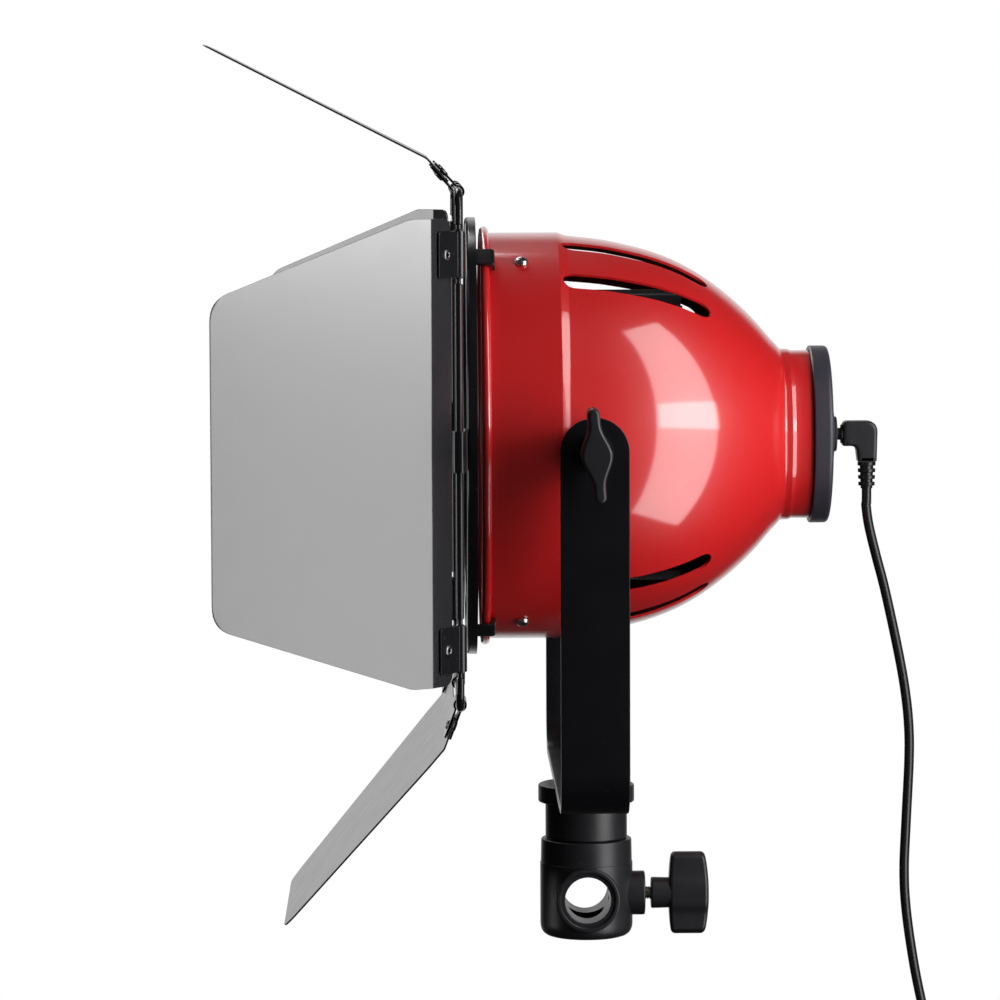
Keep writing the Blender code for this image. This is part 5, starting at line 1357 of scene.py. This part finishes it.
def make_connector():
    lowest, highest = span("lead_connector")
    x, y = (lowest.x + highest.x) / 2, (lowest.y + highest.y) / 2
    top, bottom = highest.z, lowest.z
    size, hole, pin = 5.0, 3.05, 0.9
    groove = size - 0.45
    outline = [(0, top), (0.62 * size, top, 0.5), (0.74 * size, top - 8, 1.5), (size, top - 10.5, 1.5)]
    for k in range(5):
        z = top - 13.5 - 2.2 * k
        outline += [(size, z, 0.2), (groove, z - 0.3, 0.1), (groove, z - 0.9, 0.1), (size, z - 1.2, 0.2)]
    outline += [(size, bottom, 0.5), (hole, bottom, 0.2), (hole, bottom + 9), (pin, bottom + 9)]
    outline += [(pin, bottom + 1.5, 0.3), (0, bottom + 1.5)]
    connector = turned("connector_fine", rounded(outline, 3), shift(x, y), 48)
    stands_for(connector, MOULDED_BLACK, "lead_connector")
    return connector


def make_tie():
    """A strap's loop round the coil's section."""
    gap, thickness = 0.35, 1.25
    a = math.radians(TIE_ANGLE)
    place = axes((math.cos(a), 0, math.sin(a)), (0, 1, 0), (-math.sin(a), 0, math.cos(a)), COIL_CENTRE)
    deep = COIL_OUTER_RADIUS - COIL_PITCH * COIL_TURNS / 2
    left = math.sqrt((deep - CORD_RADIUS) ** 2 - 6.0**2) - gap
    right = COIL_OUTER_RADIUS + COIL_PITCH * COIL_START_ANGLE / 360 + CORD_RADIUS + gap
    half = COIL_PITCH / 2 + CORD_RADIUS + gap
    inner = rectangle(left, -half, right, half, 1.0, 5)
    far = half + thickness
    outer = rectangle(left - thickness, -far, right + thickness, far, 2.0, 6)
    tie = plate("tie_fine", outer, -6, 6, place, 0.3, [inner])
    stands_for(tie, NYLON, "coil_tie")
    return tie


def make_lead(leaves_at):
    line = lead_line(leaves_at)
    lead = swept("lead", line, [CORD_RADIUS] * len(line), 18)
    lead.data.materials.append(CORD_BLACK)
    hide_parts("power_lead", "lead_coil")
    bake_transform(lead)
    connector = make_connector()
    tie = make_tie()


# Light, floor and camera


def direction(azimuth, elevation):
    """From the lamp outwards: azimuth 0 is towards the viewer, 90 is to the right."""
    a, e = math.radians(azimuth), math.radians(elevation)
    return Vector((math.sin(a) * math.cos(e), -math.cos(a) * math.cos(e), math.sin(e)))


def softbox(name, azimuth, elevation, distance, size, power, aim=(0, 0, 0.2), lean=0.0):
    """A soft lamp that faces the place aim; lean turns its top to its own right, in degrees."""
    lamp = bpy.data.lights.new(name, "AREA")
    lamp.shape = "RECTANGLE"
    lamp.size, lamp.size_y = size
    lamp.energy = power
    obj = bpy.data.objects.new(name, lamp)
    bpy.context.scene.collection.objects.link(obj)
    out = direction(azimuth, elevation)
    obj.location = Vector(aim) + out * distance
    turn = out.to_track_quat("Z", "Y") @ Quaternion((0, 0, 1), math.radians(-lean))
    obj.rotation_euler = turn.to_euler()
    obj.visible_camera = False


def make_world():
    """White to the camera; in gloss, white only behind the lamp head; elsewhere a weak fill."""
    fill_strength = 0.05
    world = bpy.data.worlds.new("studio")
    bpy.context.scene.world = world
    world.use_nodes = True
    tree = world.node_tree
    back = tree.nodes["Background"]
    path = tree.nodes.new("ShaderNodeLightPath").outputs
    parts = tree.nodes.new("ShaderNodeSeparateXYZ")
    tree.links.new(tree.nodes.new("ShaderNodeTexCoord").outputs["Generated"], parts.inputs[0])
    behind = ramp(tree, parts.outputs["Y"], 0.8, 0.97, 0.02, 0.85)
    seen = figure(tree, "MAXIMUM", path["Is Camera Ray"], path["Is Transmission Ray"])
    glossy = figure(tree, "MULTIPLY", path["Is Glossy Ray"], behind)
    rest = figure(tree, "SUBTRACT", 1.0, path["Is Glossy Ray"])
    fill = figure(tree, "ADD", glossy, figure(tree, "MULTIPLY", rest, fill_strength))
    tree.links.new(figure(tree, "MAXIMUM", seen, fill), back.inputs["Strength"])
    back.inputs["Color"].default_value = (1, 1, 1, 1)


def make_floor():
    """A pale sheet that keeps the shadow near the lamp and goes over into white further off."""
    made = bmesh.new()
    size = 14000.0
    level = CAD_BOX[0][2] / MM - 12
    corners = ((-size, -size), (size, -size), (size, size), (-size, size))
    made.faces.new([made.verts.new((x, y, level)) for x, y in corners])
    floor = new_piece("floor", made)
    finish, tree, shader = material("pale_floor", {"Roughness": 0.9, "Base Color": (0.8, 0.8, 0.8, 1)})
    length = tree.nodes.new("ShaderNodeVectorMath")
    length.operation = "LENGTH"
    tree.links.new(tree.nodes.new("ShaderNodeTexCoord").outputs["Object"], length.inputs[0])
    share = ramp(tree, length.outputs["Value"], 0.3, 0.75, 0.5, 1.0)
    camera_ray = tree.nodes.new("ShaderNodeLightPath").outputs["Is Camera Ray"]
    white = tree.nodes.new("ShaderNodeEmission")
    mix = tree.nodes.new("ShaderNodeMixShader")
    tree.links.new(figure(tree, "MULTIPLY", share, camera_ray), mix.inputs[0])
    tree.links.new(shader.outputs[0], mix.inputs[1])
    tree.links.new(white.outputs[0], mix.inputs[2])
    tree.links.new(mix.outputs[0], tree.nodes["Material Output"].inputs["Surface"])
    floor.data.materials.append(finish)
    floor.visible_glossy = False
    floor.visible_diffuse = False


def make_camera():
    cosine = math.cos(CAMERA_PITCH)
    forward = (math.sin(CAMERA_YAW) * cosine, math.cos(CAMERA_YAW) * cosine)
    look = Vector((*forward, -math.sin(CAMERA_PITCH)))
    right = Vector((math.cos(CAMERA_YAW), -math.sin(CAMERA_YAW), 0))
    up = right.cross(look)
    rolled = right * math.cos(CAMERA_ROLL) + up * math.sin(CAMERA_ROLL)
    upward = up * math.cos(CAMERA_ROLL) - right * math.sin(CAMERA_ROLL)
    data = bpy.data.cameras.new("camera")
    data.lens = CAMERA_LENS
    data.sensor_width = 36.0
    data.clip_end = 50.0
    camera = bpy.data.objects.new("camera", data)
    camera.matrix_world = axes(rolled, upward, -look, CAMERA_AIM - look * CAMERA_DISTANCE)
    bpy.context.scene.collection.objects.link(camera)
    bpy.context.scene.camera = camera


make_camera()
make_lead(make_plug())

make_receiver()
make_clamp()
make_swivel()
make_yoke()
make_pivot("near", -1)
make_pivot("far", 1)

make_housing()
make_cap()
for screw_number, screw_angle in enumerate(SCREW_ANGLES, 1):
    make_band_screw(screw_number, screw_angle)
make_sink()
make_carrier()
make_led()
make_reflector()
make_driver()

make_ring()
for hook_number, hook_angle in enumerate(HOOK_ANGLES, 1):
    make_hook(hook_number, hook_angle)
make_rods()
for leaf_name, leaf_angle, leaf_opening in LEAVES:
    make_tab(leaf_name, leaf_angle)
    make_leaf(leaf_name, leaf_angle, leaf_opening)

softbox("key", 58, 0, 0.62, (0.40, 1.82), 9.0, aim=(0.025, -0.07, 0.51), lean=5.4)
softbox("key_core", 58, 0, 0.61, (0.40, 0.16), 0.9, aim=(0.025, -0.07, 0.37), lean=5.4)
softbox("rear", 212, 42, 1.5, (1.0, 1.0), 14.0)
softbox("left", -84, -4, 1.3, (0.4, 0.8), 5.0, aim=(-0.1, 0.19, 0.33))
make_world()
make_floor()
flatten_faces()
bpy.context.scene.view_settings.view_transform = "Standard"
